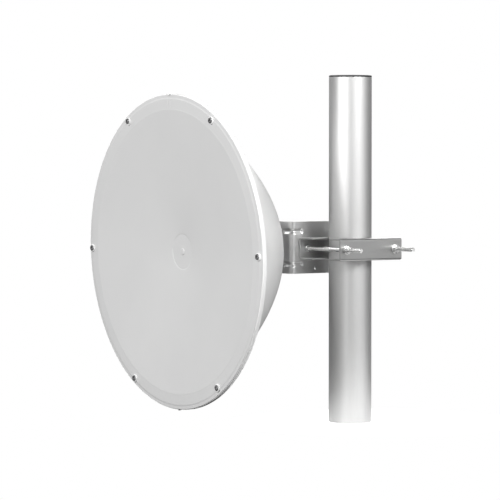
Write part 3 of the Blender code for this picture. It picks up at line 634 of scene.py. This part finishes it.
for number in range(SCREWS):
    turn = TURN * number / SCREWS
    across, up = SCREW_CIRCLE * math.cos(turn), SCREW_CIRCLE * math.sin(turn)
    place = lambda a, b, depth, across=across, up=up: on_dish(across + a, depth, up + b)
    cup_node, screw_node = f"screw_cup_{number + 1}", f"radome_screw_{number + 1}"
    show(f"cup_washer_{number + 1}", [spun(washer_profile, 56, place)], cup_plastic, "dish", [cup_node])
    head = spun(head_rows[:, :2], 60, place, head_rows[:, 2], corner=turn)
    show(f"socket_screw_{number + 1}", [head], screw_steel, "dish", [screw_node])
print("washer profile:", len(washer_profile), "points, head rows:", len(head_rows))

# %% [markdown]
# Clip and drain plug
#
# At the top a small white clip hooks over the side band from front to back. At the bottom a dark rubber plug
# closes the drain hole, so that water that gets in behind the rim can be let out.

# %% Rim clip and drain plug
CLIP_WIDTH = 0.0100
clip_inner, clip_outer, clip_tip = RIM_RADIUS + GAP, RIM_RADIUS + GAP + 0.0024, RIM_RADIUS - 0.0030
clip_front, clip_rear, HOOK = -GAP, RIM_DEPTH + GAP, 0.0016
clip_outline = rounded(
    [
        (clip_front - HOOK, clip_outer),
        (clip_rear + HOOK, clip_outer),
        (clip_rear + HOOK, clip_tip),
        (clip_rear, clip_tip),
        (clip_rear, clip_inner),
        (clip_front, clip_inner),
        (clip_front, clip_tip),
        (clip_front - HOOK, clip_tip),
    ],
    [0.0012, 0.0012, 0.0006, 0.0006, 0.0002, 0.0002, 0.0006, 0.0006],
)
clip = pushed(clip_outline, -CLIP_WIDTH / 2, CLIP_WIDTH / 2, lambda u, v, w: on_dish(w, u, v))
show("snap_clip", [clip], cup_plastic, "dish", ["rim_clip"], edge=0.0004)

PLUG_DEPTH = 0.0094
plug_bottom = -RIM_RADIUS - GAP - 0.0022
plug_profile = rounded(
    [
        (0.0, plug_bottom),
        (0.0034, plug_bottom),
        (0.0034, plug_bottom + 0.0022),
        (0.0022, plug_bottom + 0.0022),
        (0.0022, plug_bottom + 0.0070),
        (0.0, plug_bottom + 0.0070),
    ],
    [0.0, 0.0013, 0.0004, 0.0003, 0.0008, 0.0],
    closed=False,
)
plug = spun(plug_profile, 40, lambda a, b, up: on_dish(a, PLUG_DEPTH + b, up))
show("rubber_plug", [plug], cap_plastic, "dish", ["drain_plug"])
print("clip outline:", len(clip_outline), "points, plug profile:", len(plug_profile), "points")

# %% [markdown]
# Hub and feed port
#
# Behind the bowl a thick turned plate spreads the load of the mount over the flat seat. The port of the
# waveguide passes through it and ends in a round flange between the two ears of the tilt bracket.

# %% Hub plate and feed port
HUB_REAR = 0.2580
hub_front = seat_depth + GAP
hub_profile = rounded(
    [(HUB_BORE, hub_front), (SEAT, hub_front), (SEAT, HUB_REAR), (SEAT - 0.0060, HUB_REAR), (HUB_BORE, HUB_REAR)],
    [0.0004, 0.0008, 0.0014, 0.0, 0.0004],
)
show("turned_hub", [spun(hub_profile, 96, dish_place)], cast_aluminium, "dish", ["hub_plate"])

PORT_REAR, PORT_FRONT, PORT_FLANGE = 0.2850, 0.2440, 0.0080
PORT_NECK, PORT_RADIUS, PORT_BORE = 0.0200, 0.0260, 0.0100
port_profile = rounded(
    [
        (0.0, PORT_FRONT),
        (PORT_NECK, PORT_FRONT),
        (PORT_NECK, PORT_REAR - PORT_FLANGE),
        (PORT_RADIUS, PORT_REAR - PORT_FLANGE),
        (PORT_RADIUS, PORT_REAR),
        (PORT_BORE, PORT_REAR),
        (PORT_BORE, PORT_REAR - 0.0120),
        (0.0, PORT_REAR - 0.0120),
    ],
    [0.0, 0.0005, 0.0005, 0.0008, 0.0012, 0.0006, 0.0003, 0.0],
    closed=False,
)
port = spun(refined(port_profile, 0.006), 72, dish_place)
show("waveguide_port", [port], cast_aluminium, "dish", ["feed_port"])
print("hub and port rows:", len(hub_profile), len(port_profile))

# %% [markdown]
# The arm
#
# One 5 mm plate is folded once through a right angle: a base leg behind the bowl and a side leg along the
# clamp. Two darts are pressed across the bend. They stiffen the corner, and each shows as a short dark trough
# with rounded ends. The plate is a grid along the fold line's path and up the plate. Round corners squeeze the
# grid's height near both ends, and the trough is a smooth bump in both directions taken off the outer face.

# %% Folded arm with darts, window, tabs and earth hole
ARM_SHEET = 0.0050
ARM_HALF = 0.0612
ARM_BEND = 0.0120
ARM_FRONT, ARM_REAR = -0.1103, 0.0900
ARM_SIDE, ARM_LEFT = -0.0822, -0.2247
ARM_CORNER = 0.0140
DART_OFFSET, DART_HALF, DART_DEPTH, DART_LENGTH, DART_RAMP = 0.0388, 0.0080, 0.0034, 0.0350, 0.0070
HOLE_Y, HOLE_UP, HOLE_RADIUS, HOLE_REACH = -0.0409, -0.0500, 0.0026, 0.0056
WINDOW_HALF_WIDTH, WINDOW_HALF_HEIGHT = 0.0410, 0.0440

base_length = ARM_SIDE - ARM_BEND - ARM_LEFT
arc_length = ARM_BEND * math.pi / 2
side_length = ARM_REAR - ARM_FRONT - ARM_BEND
total = base_length + arc_length + side_length
bend_middle = base_length + arc_length / 2
hole_s = base_length + arc_length + HOLE_Y - (ARM_FRONT + ARM_BEND)


def round_hole(s, v, centre_s, centre_v, radius, reach, half_length=0.0):
    """Draw the grid's lines round a hole.

    A point at distance m, counted as the larger of its two offsets, lies on a square. The square with m = radius
    becomes a circle, the one with m = reach stays a square, and those between are blends of the two. A half
    length pulls the circle out to a slot, by counting offsets along s only beyond that length.
    """
    ds, dv = s - centre_s, v - centre_v
    past = np.sign(ds) * np.maximum(np.abs(ds) - half_length, 0.0)
    m = np.maximum(np.abs(past), np.abs(dv))
    distance = np.maximum(np.hypot(past, dv), 1e-9)
    square = np.clip((m - radius) / (reach - radius), 0.0, 1.0)
    factor = np.where(m < reach, (1 - square) * m / distance + square, 1.0)
    return s + past * (factor - 1), centre_v + dv * factor, m


def path_point(s, inset):
    """A point of the plate's plan at length s along its outer face, moved in by inset."""
    angle = np.clip((s - base_length) / ARM_BEND, 0.0, math.pi / 2) - math.pi / 2
    on_side = np.maximum(s - base_length - arc_length, 0.0)
    on_base = np.minimum(s - base_length, 0.0)
    radius = ARM_BEND - inset
    x = ARM_SIDE - ARM_BEND + radius * np.cos(angle) + on_base
    y = ARM_FRONT + ARM_BEND + radius * np.sin(angle) + on_side
    return x, y


def smooth_bump(t):
    """1 at the middle, 0 from |t| = 1 on, with a level start and end."""
    return np.cos(np.clip(np.abs(t), 0.0, 1.0) * math.pi / 2) ** 2


dart_reach = DART_LENGTH + ARM_BEND * math.pi / 4 - ARM_BEND
corner_steps = ARM_CORNER * (1 - np.cos(np.linspace(0.0, math.pi / 2, 9)))
window_s = np.array([-WINDOW_HALF_WIDTH, WINDOW_HALF_WIDTH]) + PIVOT[0] - ARM_LEFT
s_lines = np.concatenate([
    corner_steps, total - corner_steps, window_s,
    np.linspace(ARM_CORNER, total - ARM_CORNER, 40),
    np.linspace(bend_middle - dart_reach - 0.002, bend_middle + dart_reach + 0.002, 64),
    hole_s + np.linspace(-HOLE_REACH, HOLE_REACH, 13), hole_s + np.array([-HOLE_RADIUS, HOLE_RADIUS]),
])
dart_lines = np.linspace(-1.25, 1.25, 26) * DART_HALF
v_lines = np.concatenate([
    np.linspace(-ARM_HALF, ARM_HALF, 25), dart_lines - DART_OFFSET, dart_lines + DART_OFFSET,
    [-WINDOW_HALF_HEIGHT, WINDOW_HALF_HEIGHT],
    HOLE_UP + np.linspace(-HOLE_REACH, HOLE_REACH, 13), HOLE_UP + np.array([-HOLE_RADIUS, HOLE_RADIUS]),
])


def thinned(lines, least=0.0003):
    """Sorted grid lines without near doubles."""
    lines = np.unique(np.round(lines, 6))
    return lines[np.concatenate([[True], np.diff(lines) > least])]


s_lines, v_lines = thinned(s_lines), thinned(v_lines)
s, v = np.meshgrid(s_lines, v_lines, indexing="ij")
from_end = np.minimum(np.minimum(s, total - s), ARM_CORNER)
half_here = ARM_HALF - ARM_CORNER + np.sqrt(np.maximum(ARM_CORNER**2 - (ARM_CORNER - from_end) ** 2, 0.0))
s, v, _ = round_hole(s, v * half_here / ARM_HALF, hole_s, HOLE_UP, HOLE_RADIUS, HOLE_REACH)
trough = smooth_bump(1 - np.clip((dart_reach - np.abs(s - bend_middle)) / DART_RAMP, 0.0, 1.0))
trough = trough * (smooth_bump((v - DART_OFFSET) / DART_HALF) + smooth_bump((v + DART_OFFSET) / DART_HALF))
outer_x, outer_y = path_point(s, DART_DEPTH * trough)
inner_x, inner_y = path_point(s, ARM_SHEET + 0.6 * DART_DEPTH * trough)
middle_s = (s_lines[1:] + s_lines[:-1])[:, None] / 2
middle_v = (v_lines[1:] + v_lines[:-1])[None, :] / 2
in_window = (middle_s > window_s[0]) & (middle_s < window_s[1]) & (np.abs(middle_v) < WINDOW_HALF_HEIGHT)
in_hole = np.maximum(np.abs(middle_s - hole_s), np.abs(middle_v - HOLE_UP)) < HOLE_RADIUS
plate = two_faced(
    np.stack([outer_x, outer_y, ARM_HEIGHT + v], axis=-1),
    np.stack([inner_x, inner_y, ARM_HEIGHT + v], axis=-1),
    ~(in_window | in_hole),
)

TAB_INNER, TAB_BEND, TAB_HALF, TAB_END = 0.0330, 0.0080, 0.0360, 0.0170
LOCK_UP, BOLT = 0.0240, 0.0040
SLOT_HALF = LOCK_UP * math.radians(12)
tab_arc = TAB_BEND * math.pi / 2
tab_start = 0.0020
tab_straight = PIVOT[1] + TAB_END - ARM_FRONT - TAB_BEND
tab_total = tab_start + tab_arc + tab_straight
pivot_s = tab_total - TAB_END


def folded_tab(side):
    """A tab folded back from the window's edge, with the curved slot that the lock bolt slides in."""
    lines = np.concatenate([
        np.linspace(0, tab_total, 42),
        pivot_s + np.linspace(-1, 1, 25) * (SLOT_HALF + 0.0075), pivot_s + np.array([-1, 1]) * (SLOT_HALF + 0.0045),
    ])
    ups = np.concatenate([
        np.linspace(-TAB_HALF, TAB_HALF, 21),
        LOCK_UP + np.linspace(-0.0075, 0.0075, 15), LOCK_UP + np.array([-0.0045, 0.0045]),
    ])
    lines, ups = thinned(lines), thinned(ups)
    s, v = np.meshgrid(lines, ups, indexing="ij")
    s, v, m = round_hole(s, v, pivot_s, LOCK_UP, 0.0045, 0.0075, SLOT_HALF)
    along_slot = np.clip(s - pivot_s, -SLOT_HALF, SLOT_HALF)
    v = v - along_slot**2 / (2 * LOCK_UP) * np.clip((0.0075 - m) / 0.003, 0.0, 1.0)
    mid_s, mid_v = (lines[1:] + lines[:-1])[:, None] / 2, (ups[1:] + ups[:-1])[None, :] / 2
    beyond = np.maximum(np.abs(mid_s - pivot_s) - SLOT_HALF, 0.0)
    keep = np.maximum(beyond, np.abs(mid_v - LOCK_UP)) > 0.0045
    turn = np.clip((s - tab_start) / TAB_BEND, 0.0, math.pi / 2)
    back = np.maximum(s - tab_start - tab_arc, 0.0)
    before = np.maximum(tab_start - s, 0.0)
    faces = []
    for inset in (0.0, ARM_SHEET):
        radius = TAB_BEND - inset
        x = TAB_INNER + TAB_BEND - radius * np.sin(turn) + before
        y = ARM_FRONT + TAB_BEND - radius * np.cos(turn) + back
        faces.append(np.stack([PIVOT[0] + side * x, y, ARM_HEIGHT + v], axis=-1))
    return two_faced(faces[0], faces[1], keep)


show(
    "folded_arm", [plate, folded_tab(-1), folded_tab(1)],
    bright_plate, "clamp", ["mount_arm"], edge=0.0006,
)
print("arm grid:", s.shape, "tab length:", round(tab_total, 4))

# %% [markdown]
# The tilt bracket
#
# A U of 4 mm sheet. Its web is bolted to the hub and its two ears reach back between the arm's tabs. The
# height of the sheet is a function of the length along the U: full on the web, less on the ears, and
# rounded off at their ends.

# %% Tilt bracket
EAR_OUTER, EAR_SHEET, EAR_BEND, EAR_END = 0.0320, 0.0040, 0.0070, 0.0160
EAR_HALF, WEB_HALF, EAR_CORNER = 0.0340, 0.0450, 0.0110
EAR_RAMP_START, EAR_RAMP_END = 0.0010, 0.0090
web = HUB_REAR + GAP - PIVOT_DEPTH
ear_straight = EAR_END - (web + EAR_BEND)
ear_arc = EAR_BEND * math.pi / 2
half_web = EAR_OUTER - EAR_BEND
half_u = half_web + ear_arc + ear_straight
u_lines = thinned(np.concatenate([
    np.linspace(0, half_web, 8), np.linspace(half_web, half_web + ear_arc, 10),
    np.linspace(half_web + ear_arc, half_u - EAR_CORNER, 14), half_web + ear_arc + np.array([EAR_RAMP_START, EAR_RAMP_END]),
    half_u - EAR_CORNER * (1 - np.cos(np.linspace(0, math.pi / 2, 10))),
]))
u_lines = np.concatenate([-u_lines[:0:-1], u_lines])
across_u, up_u = np.meshgrid(u_lines, np.linspace(-1.0, 1.0, 17), indexing="ij")
reach = np.abs(across_u)
u_back = np.maximum(reach - half_web - ear_arc, 0.0)
ramp = np.interp(u_back, [0.0, EAR_RAMP_START, EAR_RAMP_END], [WEB_HALF, WEB_HALF - EAR_RAMP_START, EAR_HALF])
end_left = np.minimum(half_u - reach, EAR_CORNER)
end_round = EAR_CORNER - np.sqrt(np.maximum(EAR_CORNER**2 - (EAR_CORNER - end_left) ** 2, 0.0))
# The web is centred on the dish's axis and the ears on the pivot, which lies a little lower.
lowered = np.interp(u_back, [0.0, EAR_RAMP_START], [0.0, AXIS_OVER_PIVOT])
u_height = np.maximum(up_u * (ramp - end_round) - lowered, -WEB_HALF)
u_turn = np.clip((reach - half_web) / EAR_BEND, 0.0, math.pi / 2)
bracket_faces = []
for inset in (0.0, EAR_SHEET):
    radius = EAR_BEND - inset
    x = np.sign(across_u) * (np.minimum(reach, half_web) + radius * np.sin(u_turn))
    y = web + EAR_BEND - radius * np.cos(u_turn) + u_back
    bracket_faces.append(on_dish(x, PIVOT_DEPTH + y, u_height))
show(
    "u_bracket", [two_faced(*bracket_faces)],
    bright_plate, "dish", ["tilt_bracket"], edge=0.0005,
)
print("bracket grid:", across_u.shape)

# %% [markdown]
# Jaws
#
# Two channels of 4 mm sheet face each other across the pole. A V notch in each flange grips the tube. The
# grid runs round the channel and along it. At the notch the lines of the grid are slanted, so that the two
# lines beside the cut follow the V and meet at its tip.

# %% Inner and outer jaw
JAW_LENGTH, JAW_HEIGHT, JAW_SHEET, JAW_DEPTH, JAW_CORNER = 0.1770, 0.0510, 0.0040, 0.0502, 0.0050
JAW_WEB = 0.0822
END_CORNER = 0.0035
NOTCH_HALF_ANGLE = math.radians(60)
NOTCH_TIP = (0.0500 + GAP) / math.sin(NOTCH_HALF_ANGLE)
half_jaw = JAW_HEIGHT / 2
flange_length = JAW_DEPTH - JAW_CORNER
jaw_arc = JAW_CORNER * math.pi / 2
half_web_jaw = half_jaw - JAW_CORNER
half_channel = half_web_jaw + jaw_arc + flange_length
tip_s = half_channel - (NOTCH_TIP - (JAW_WEB - JAW_DEPTH))


def channel_jaw(side):
    """Two faces of the channel. c is the length round it from the middle of the web, y the length along it."""
    web_here = JAW_WEB - (GAP if side < 0 else 0.0)
    c_lines = thinned(np.concatenate([
        np.linspace(0, half_web_jaw, 9), np.linspace(half_web_jaw, half_web_jaw + jaw_arc, 9),
        np.linspace(half_web_jaw + jaw_arc, tip_s, 8), np.linspace(tip_s, half_channel, 14),
    ]))
    c_lines = np.concatenate([-c_lines[:0:-1], c_lines])
    cut = 0.010
    y_lines = thinned(np.concatenate([[-cut, cut], np.linspace(cut, JAW_LENGTH / 2, 16)]))
    y_lines = np.unique(np.concatenate([-y_lines, y_lines]))
    c, y = np.meshgrid(c_lines, y_lines, indexing="ij")
    reach = np.abs(c)
    turn = np.clip((reach - half_web_jaw) / JAW_CORNER, 0.0, math.pi / 2)
    height = np.minimum(reach, half_web_jaw) + JAW_CORNER * np.sin(turn)
    into_corner = np.maximum(height - (half_jaw - END_CORNER), 0.0)
    shorter = 1 - (END_CORNER - np.sqrt(END_CORNER**2 - into_corner**2)) / (JAW_LENGTH / 2)
    opening = np.maximum(reach - tip_s, 0.0) * math.tan(NOTCH_HALF_ANGLE) / shorter
    slanted = opening + (np.abs(y) - cut) * (JAW_LENGTH / 2 - opening) / (JAW_LENGTH / 2 - cut)
    at_notch = reach > tip_s - 1e-6
    y = np.where(at_notch, np.sign(y) * np.maximum(slanted, 0.0), y)
    out = np.maximum(reach - half_web_jaw - jaw_arc, 0.0)
    y = y * shorter
    faces = []
    for inset in (0.0, JAW_SHEET):
        radius = JAW_CORNER - inset
        x = web_here - JAW_CORNER + radius * np.cos(turn) - out * (flange_length - (JAW_WEB - web_here)) / flange_length
        z = np.sign(c) * (np.minimum(reach, half_web_jaw) + radius * np.sin(turn))
        faces.append(np.stack([side * x, y, CLAMP_HEIGHT + z], axis=-1))
    mid_c = np.abs(c_lines[1:] + c_lines[:-1])[:, None] / 2
    mid_y = np.abs(y_lines[1:] + y_lines[:-1])[None, :] / 2
    return two_faced(faces[0], faces[1], ~((mid_c > tip_s) & (mid_y < cut)))


show("inner_channel", [channel_jaw(-1)], bright_plate, "clamp", ["inner_jaw"], edge=0.0005)
show("outer_channel", [channel_jaw(1)], galvanised, "clamp", ["outer_jaw"], edge=0.0005)
print("notch tip to pole axis:", round(NOTCH_TIP, 4), "m")

# %% [markdown]
# Rods, nuts, washers and bolts
#
# Two M10 rods with a full thread draw the jaws together. A thread is a wave that climbs one pitch a turn:
# radius = outer radius - depth * (1 - wave(height / pitch - angle / full turn)). A nut is a ring whose rows are
# limited by a hexagon, and the cone of its chamfer cuts the six corners back in arcs.

# %% Threads, nuts and bolts


def threaded(radius, pitch, start, end, place, chamfer=0.0010, segments=24, rows_per_pitch=6):
    """A rod with a climbing thread, cone-shaped at both ends and closed by two poles."""
    depth = 0.12 * pitch
    rows = max(int(abs(end - start) / pitch * rows_per_pitch), 8) + 1
    along = np.linspace(start, end, rows)
    angle = TURN * np.arange(segments) / segments
    phase = np.abs(2 * np.mod(along[:, None] / pitch - angle / TURN, 1.0) - 1)
    wave = np.clip(2.5 * phase, 0.0, 1.0)
    from_end = np.minimum(np.abs(along - start), np.abs(end - along))[:, None]
    limit = np.minimum(radius - chamfer + from_end, radius)
    thread_radius = np.minimum(radius - depth * (1 - wave), limit)
    grid = place(thread_radius * np.cos(angle), thread_radius * np.sin(angle), np.repeat(along[:, None], segments, 1))
    points = grid.reshape(-1, 3)
    around = np.arange(segments)
    onward = (around + 1) % segments
    last = len(points) - segments
    poles = place(np.zeros(2), np.zeros(2), np.array([start, end]))
    faces = [grid_faces(rows, segments)]
    faces.append(np.stack([np.full(segments, len(points)), onward, around], axis=1))
    faces.append(np.stack([np.full(segments, len(points) + 1), last + around, last + onward], axis=1))
    return np.vstack([points, poles]), faces


def hex_rows(bore, flats, low, high, chamfer_low=True, chamfer_high=True):
    """Rows (radius, height, flats) of a nut from low to high. A bore of 0 gives a solid head."""
    step = 0.0594 * flats * (1 if high > low else -1)
    cone = 0.475 * flats + np.linspace(0.0, 1.0, 6) * 0.1030 * flats
    lip = 0.0006 if bore else 0.0
    rows = [(bore, low + np.sign(step) * lip), (bore + lip, low)] if bore else [(0.0, low)]
    rise = np.linspace(0.0, 1.0, 6) * step
    rows += list(zip(cone, low + rise)) if chamfer_low else [(0.58 * flats, low)]
    rows += list(zip(cone[::-1], high - rise[::-1])) if chamfer_high else [(0.58 * flats, high)]
    rows += [(bore + lip, high), (bore, high - np.sign(step) * lip)] if bore else [(0.0, high)]
    rows = np.array(rows)
    return np.column_stack([rows, np.full(len(rows), flats)])


def hex_piece(rows, place, corner):
    return spun(rows[:, :2], 72, place, rows[:, 2], corner)


ROD, ROD_TO_POLE, PITCH = 0.0050, 0.0696, 0.0015
NUT_FLATS, NUT_THICK = 0.0160, 0.0080
WASHER, WASHER_THICK = 0.0105, 0.0020
back_nut = ARM_SIDE - ARM_SHEET - GAP - NUT_THICK
inner_nut = ARM_SIDE + 2 * GAP + JAW_SHEET
washer_x = JAW_WEB + GAP
outer_nut = washer_x + WASHER_THICK + GAP
UP = TURN / 4
for label, rod_y, tip in (("front", -ROD_TO_POLE, 0.1386), ("rear", ROD_TO_POLE, 0.1521)):
    place = lambda a, b, x, rod_y=rod_y: np.stack([x, rod_y + a, CLAMP_HEIGHT + b], axis=-1)
    rod = threaded(ROD, PITCH, back_nut - 0.0040, tip, place)
    show(f"threaded_rod_{label}", [rod], zinc_plated, "clamp", [f"clamp_rod_{label}"])
    for word, x in (("back_nut", back_nut), ("inner_nut", inner_nut), ("outer_nut", outer_nut)):
        rows = hex_rows(ROD + GAP, NUT_FLATS, x, x + NUT_THICK)
        nut = hex_piece(rows, place, UP)
        show(f"hex_{word}_{label}", [nut], zinc_plated, "clamp", [f"{word}_{label}"])
    low, high = washer_x, washer_x + WASHER_THICK
    ring = rounded([(ROD + GAP, low), (WASHER, low), (WASHER, high), (ROD + GAP, high)], [0.0003, 0.0004, 0.0008, 0.0003])
    washer = spun(ring, 56, place)
    show(f"flat_washer_{label}", [washer], zinc_plated, "clamp", [f"outer_washer_{label}"])

BOLT_FLATS, BOLT_HEAD, BOLT_NUT, BOLT_PITCH = 0.0130, 0.0053, 0.0065, 0.00125
bolt_seat = TAB_INNER + ARM_SHEET + GAP
nut_seat = EAR_OUTER - EAR_SHEET - GAP
bolt_end = nut_seat - BOLT_NUT - 0.0020


def flanged_head(seat, out, flats, head):
    """Rows of a bolt head with a thin round flange under a hexagon; out is +1 or -1, away from the seat."""
    flange, disc = 0.25 * head, 0.62 * flats
    rows = hex_rows(0.0, flats, seat + out * 0.5 * flange, seat + out * head, chamfer_low=False)
    ring = rounded([(0.0, seat), (disc, seat), (disc, seat + out * flange), (0.0, seat + out * flange)],
                   [0.0, 0.0003, 0.0006, 0.0], closed=False)
    return rows, ring


def joint_bolt(kind, word, side, place, body):
    """An M8 bolt from outside a tab inwards, and its nut inside the ear."""
    rows, ring = flanged_head(side * bolt_seat, side, BOLT_FLATS, BOLT_HEAD)
    shank = threaded(BOLT, BOLT_PITCH, side * (bolt_seat - 0.0002), side * bolt_end, place, 0.0008)
    parts = [hex_piece(rows, place, UP), spun(ring, 56, place), shank]
    show(f"m8_{kind}_bolt_{word}", parts, zinc_plated, body, [f"{kind}_bolt_{word}"])
    rows = hex_rows(BOLT + GAP, BOLT_FLATS, side * nut_seat, side * (nut_seat - BOLT_NUT))
    show(
        f"m8_{kind}_nut_{word}", [hex_piece(rows, place, UP)],
        zinc_plated, body, [f"{kind}_nut_{word}"],
    )


for word, side in (("left", -1), ("right", 1)):
    joint_bolt(
        "pivot", word, side,
        lambda a, b, x: np.stack([PIVOT[0] + x, PIVOT[1] + a, PIVOT[2] + b], axis=-1), "clamp",
    )
    joint_bolt(
        "lock", word, side,
        lambda a, b, x: on_dish(x, PIVOT_DEPTH + a, LOCK_UP - AXIS_OVER_PIVOT + b), "dish",
    )

HUB_BOLT, HUB_FLATS, HUB_HEAD = 0.0030, 0.0100, 0.0040
hub_seat = HUB_REAR + GAP + EAR_SHEET + GAP
hub_bolt_end = seat_depth - 2 * SHEET
hub_places = [(a * 0.0170, b * 0.0310) for a in (-1, 1) for b in (-1, 1)]
for number, (across, up) in enumerate(hub_places, 1):
    place = lambda a, b, depth, across=across, up=up: on_dish(across + a, depth, up + b)
    rows, ring = flanged_head(hub_seat, 1, HUB_FLATS, HUB_HEAD)
    shank = threaded(HUB_BOLT, 0.0010, hub_seat + 0.0002, hub_bolt_end, place, 0.0006)
    parts = [hex_piece(rows, place, 0.0), spun(ring, 48, place), shank]
    show(f"m6_hub_bolt_{number}", parts, zinc_plated, "dish", [f"hub_bolt_{number}"])
print("rods: 2, nuts: 10, washers: 2, bolts: 8")

# %% [markdown]
# The pole
#
# A plain galvanised tube with its long rolling streaks, shut at the top by a black push-in cap and at the
# bottom by a flush disc. The cap's edge is rounded, and its face is slightly domed so that rain runs off.

# %% Pole, foot and cap
POLE, WALL, POLE_HEIGHT = 0.0500, 0.0040, 0.8100
CAP_THICK, SKIRT, FOOT = 0.0045, 0.0250, 0.0080
pole_inner = POLE - WALL
skirt_top = POLE_HEIGHT - CAP_THICK


def upright(a, b, z):
    """Points of a piece spun about the pole's axis."""
    return np.stack([a, b, z], axis=-1)


tube_rows = rounded(
    [(POLE, 0.0), (POLE, skirt_top - GAP), (pole_inner, skirt_top - GAP), (pole_inner, 0.0)],
    [0.0004, 0.0006, 0.0004, 0.0004],
)
show("steel_tube", [spun(tube_rows, 128, upright)], mast_steel, "mast", ["mast_tube"])
foot_rows = rounded(
    [(0.0, 0.0), (pole_inner - GAP, 0.0), (pole_inner - GAP, FOOT), (0.0, FOOT)],
    [0.0, 0.0006, 0.0010, 0.0], closed=False,
)
show("foot_disc", [spun(refined(foot_rows, 0.01), 96, upright)], mast_steel, "mast", ["mast_foot"])
cap_rows = rounded(
    [
        (0.0, skirt_top - SKIRT + 0.0030),
        (pole_inner - 0.0040, skirt_top - SKIRT + 0.0030),
        (pole_inner - 0.0040, skirt_top - SKIRT),
        (pole_inner - GAP, skirt_top - SKIRT),
        (pole_inner - GAP, skirt_top),
        (POLE, skirt_top),
        (POLE, POLE_HEIGHT - 0.0006),
        (0.0, POLE_HEIGHT),
    ],
    [0.0, 0.0008, 0.0008, 0.0010, 0.0002, 0.0006, 0.0024, 0.0],
    closed=False,
)
show("push_in_cap", [spun(refined(cap_rows, 0.008), 96, upright)], cap_plastic, "mast", ["mast_cap"])
print("pole rows:", len(tube_rows), len(foot_rows), len(cap_rows))
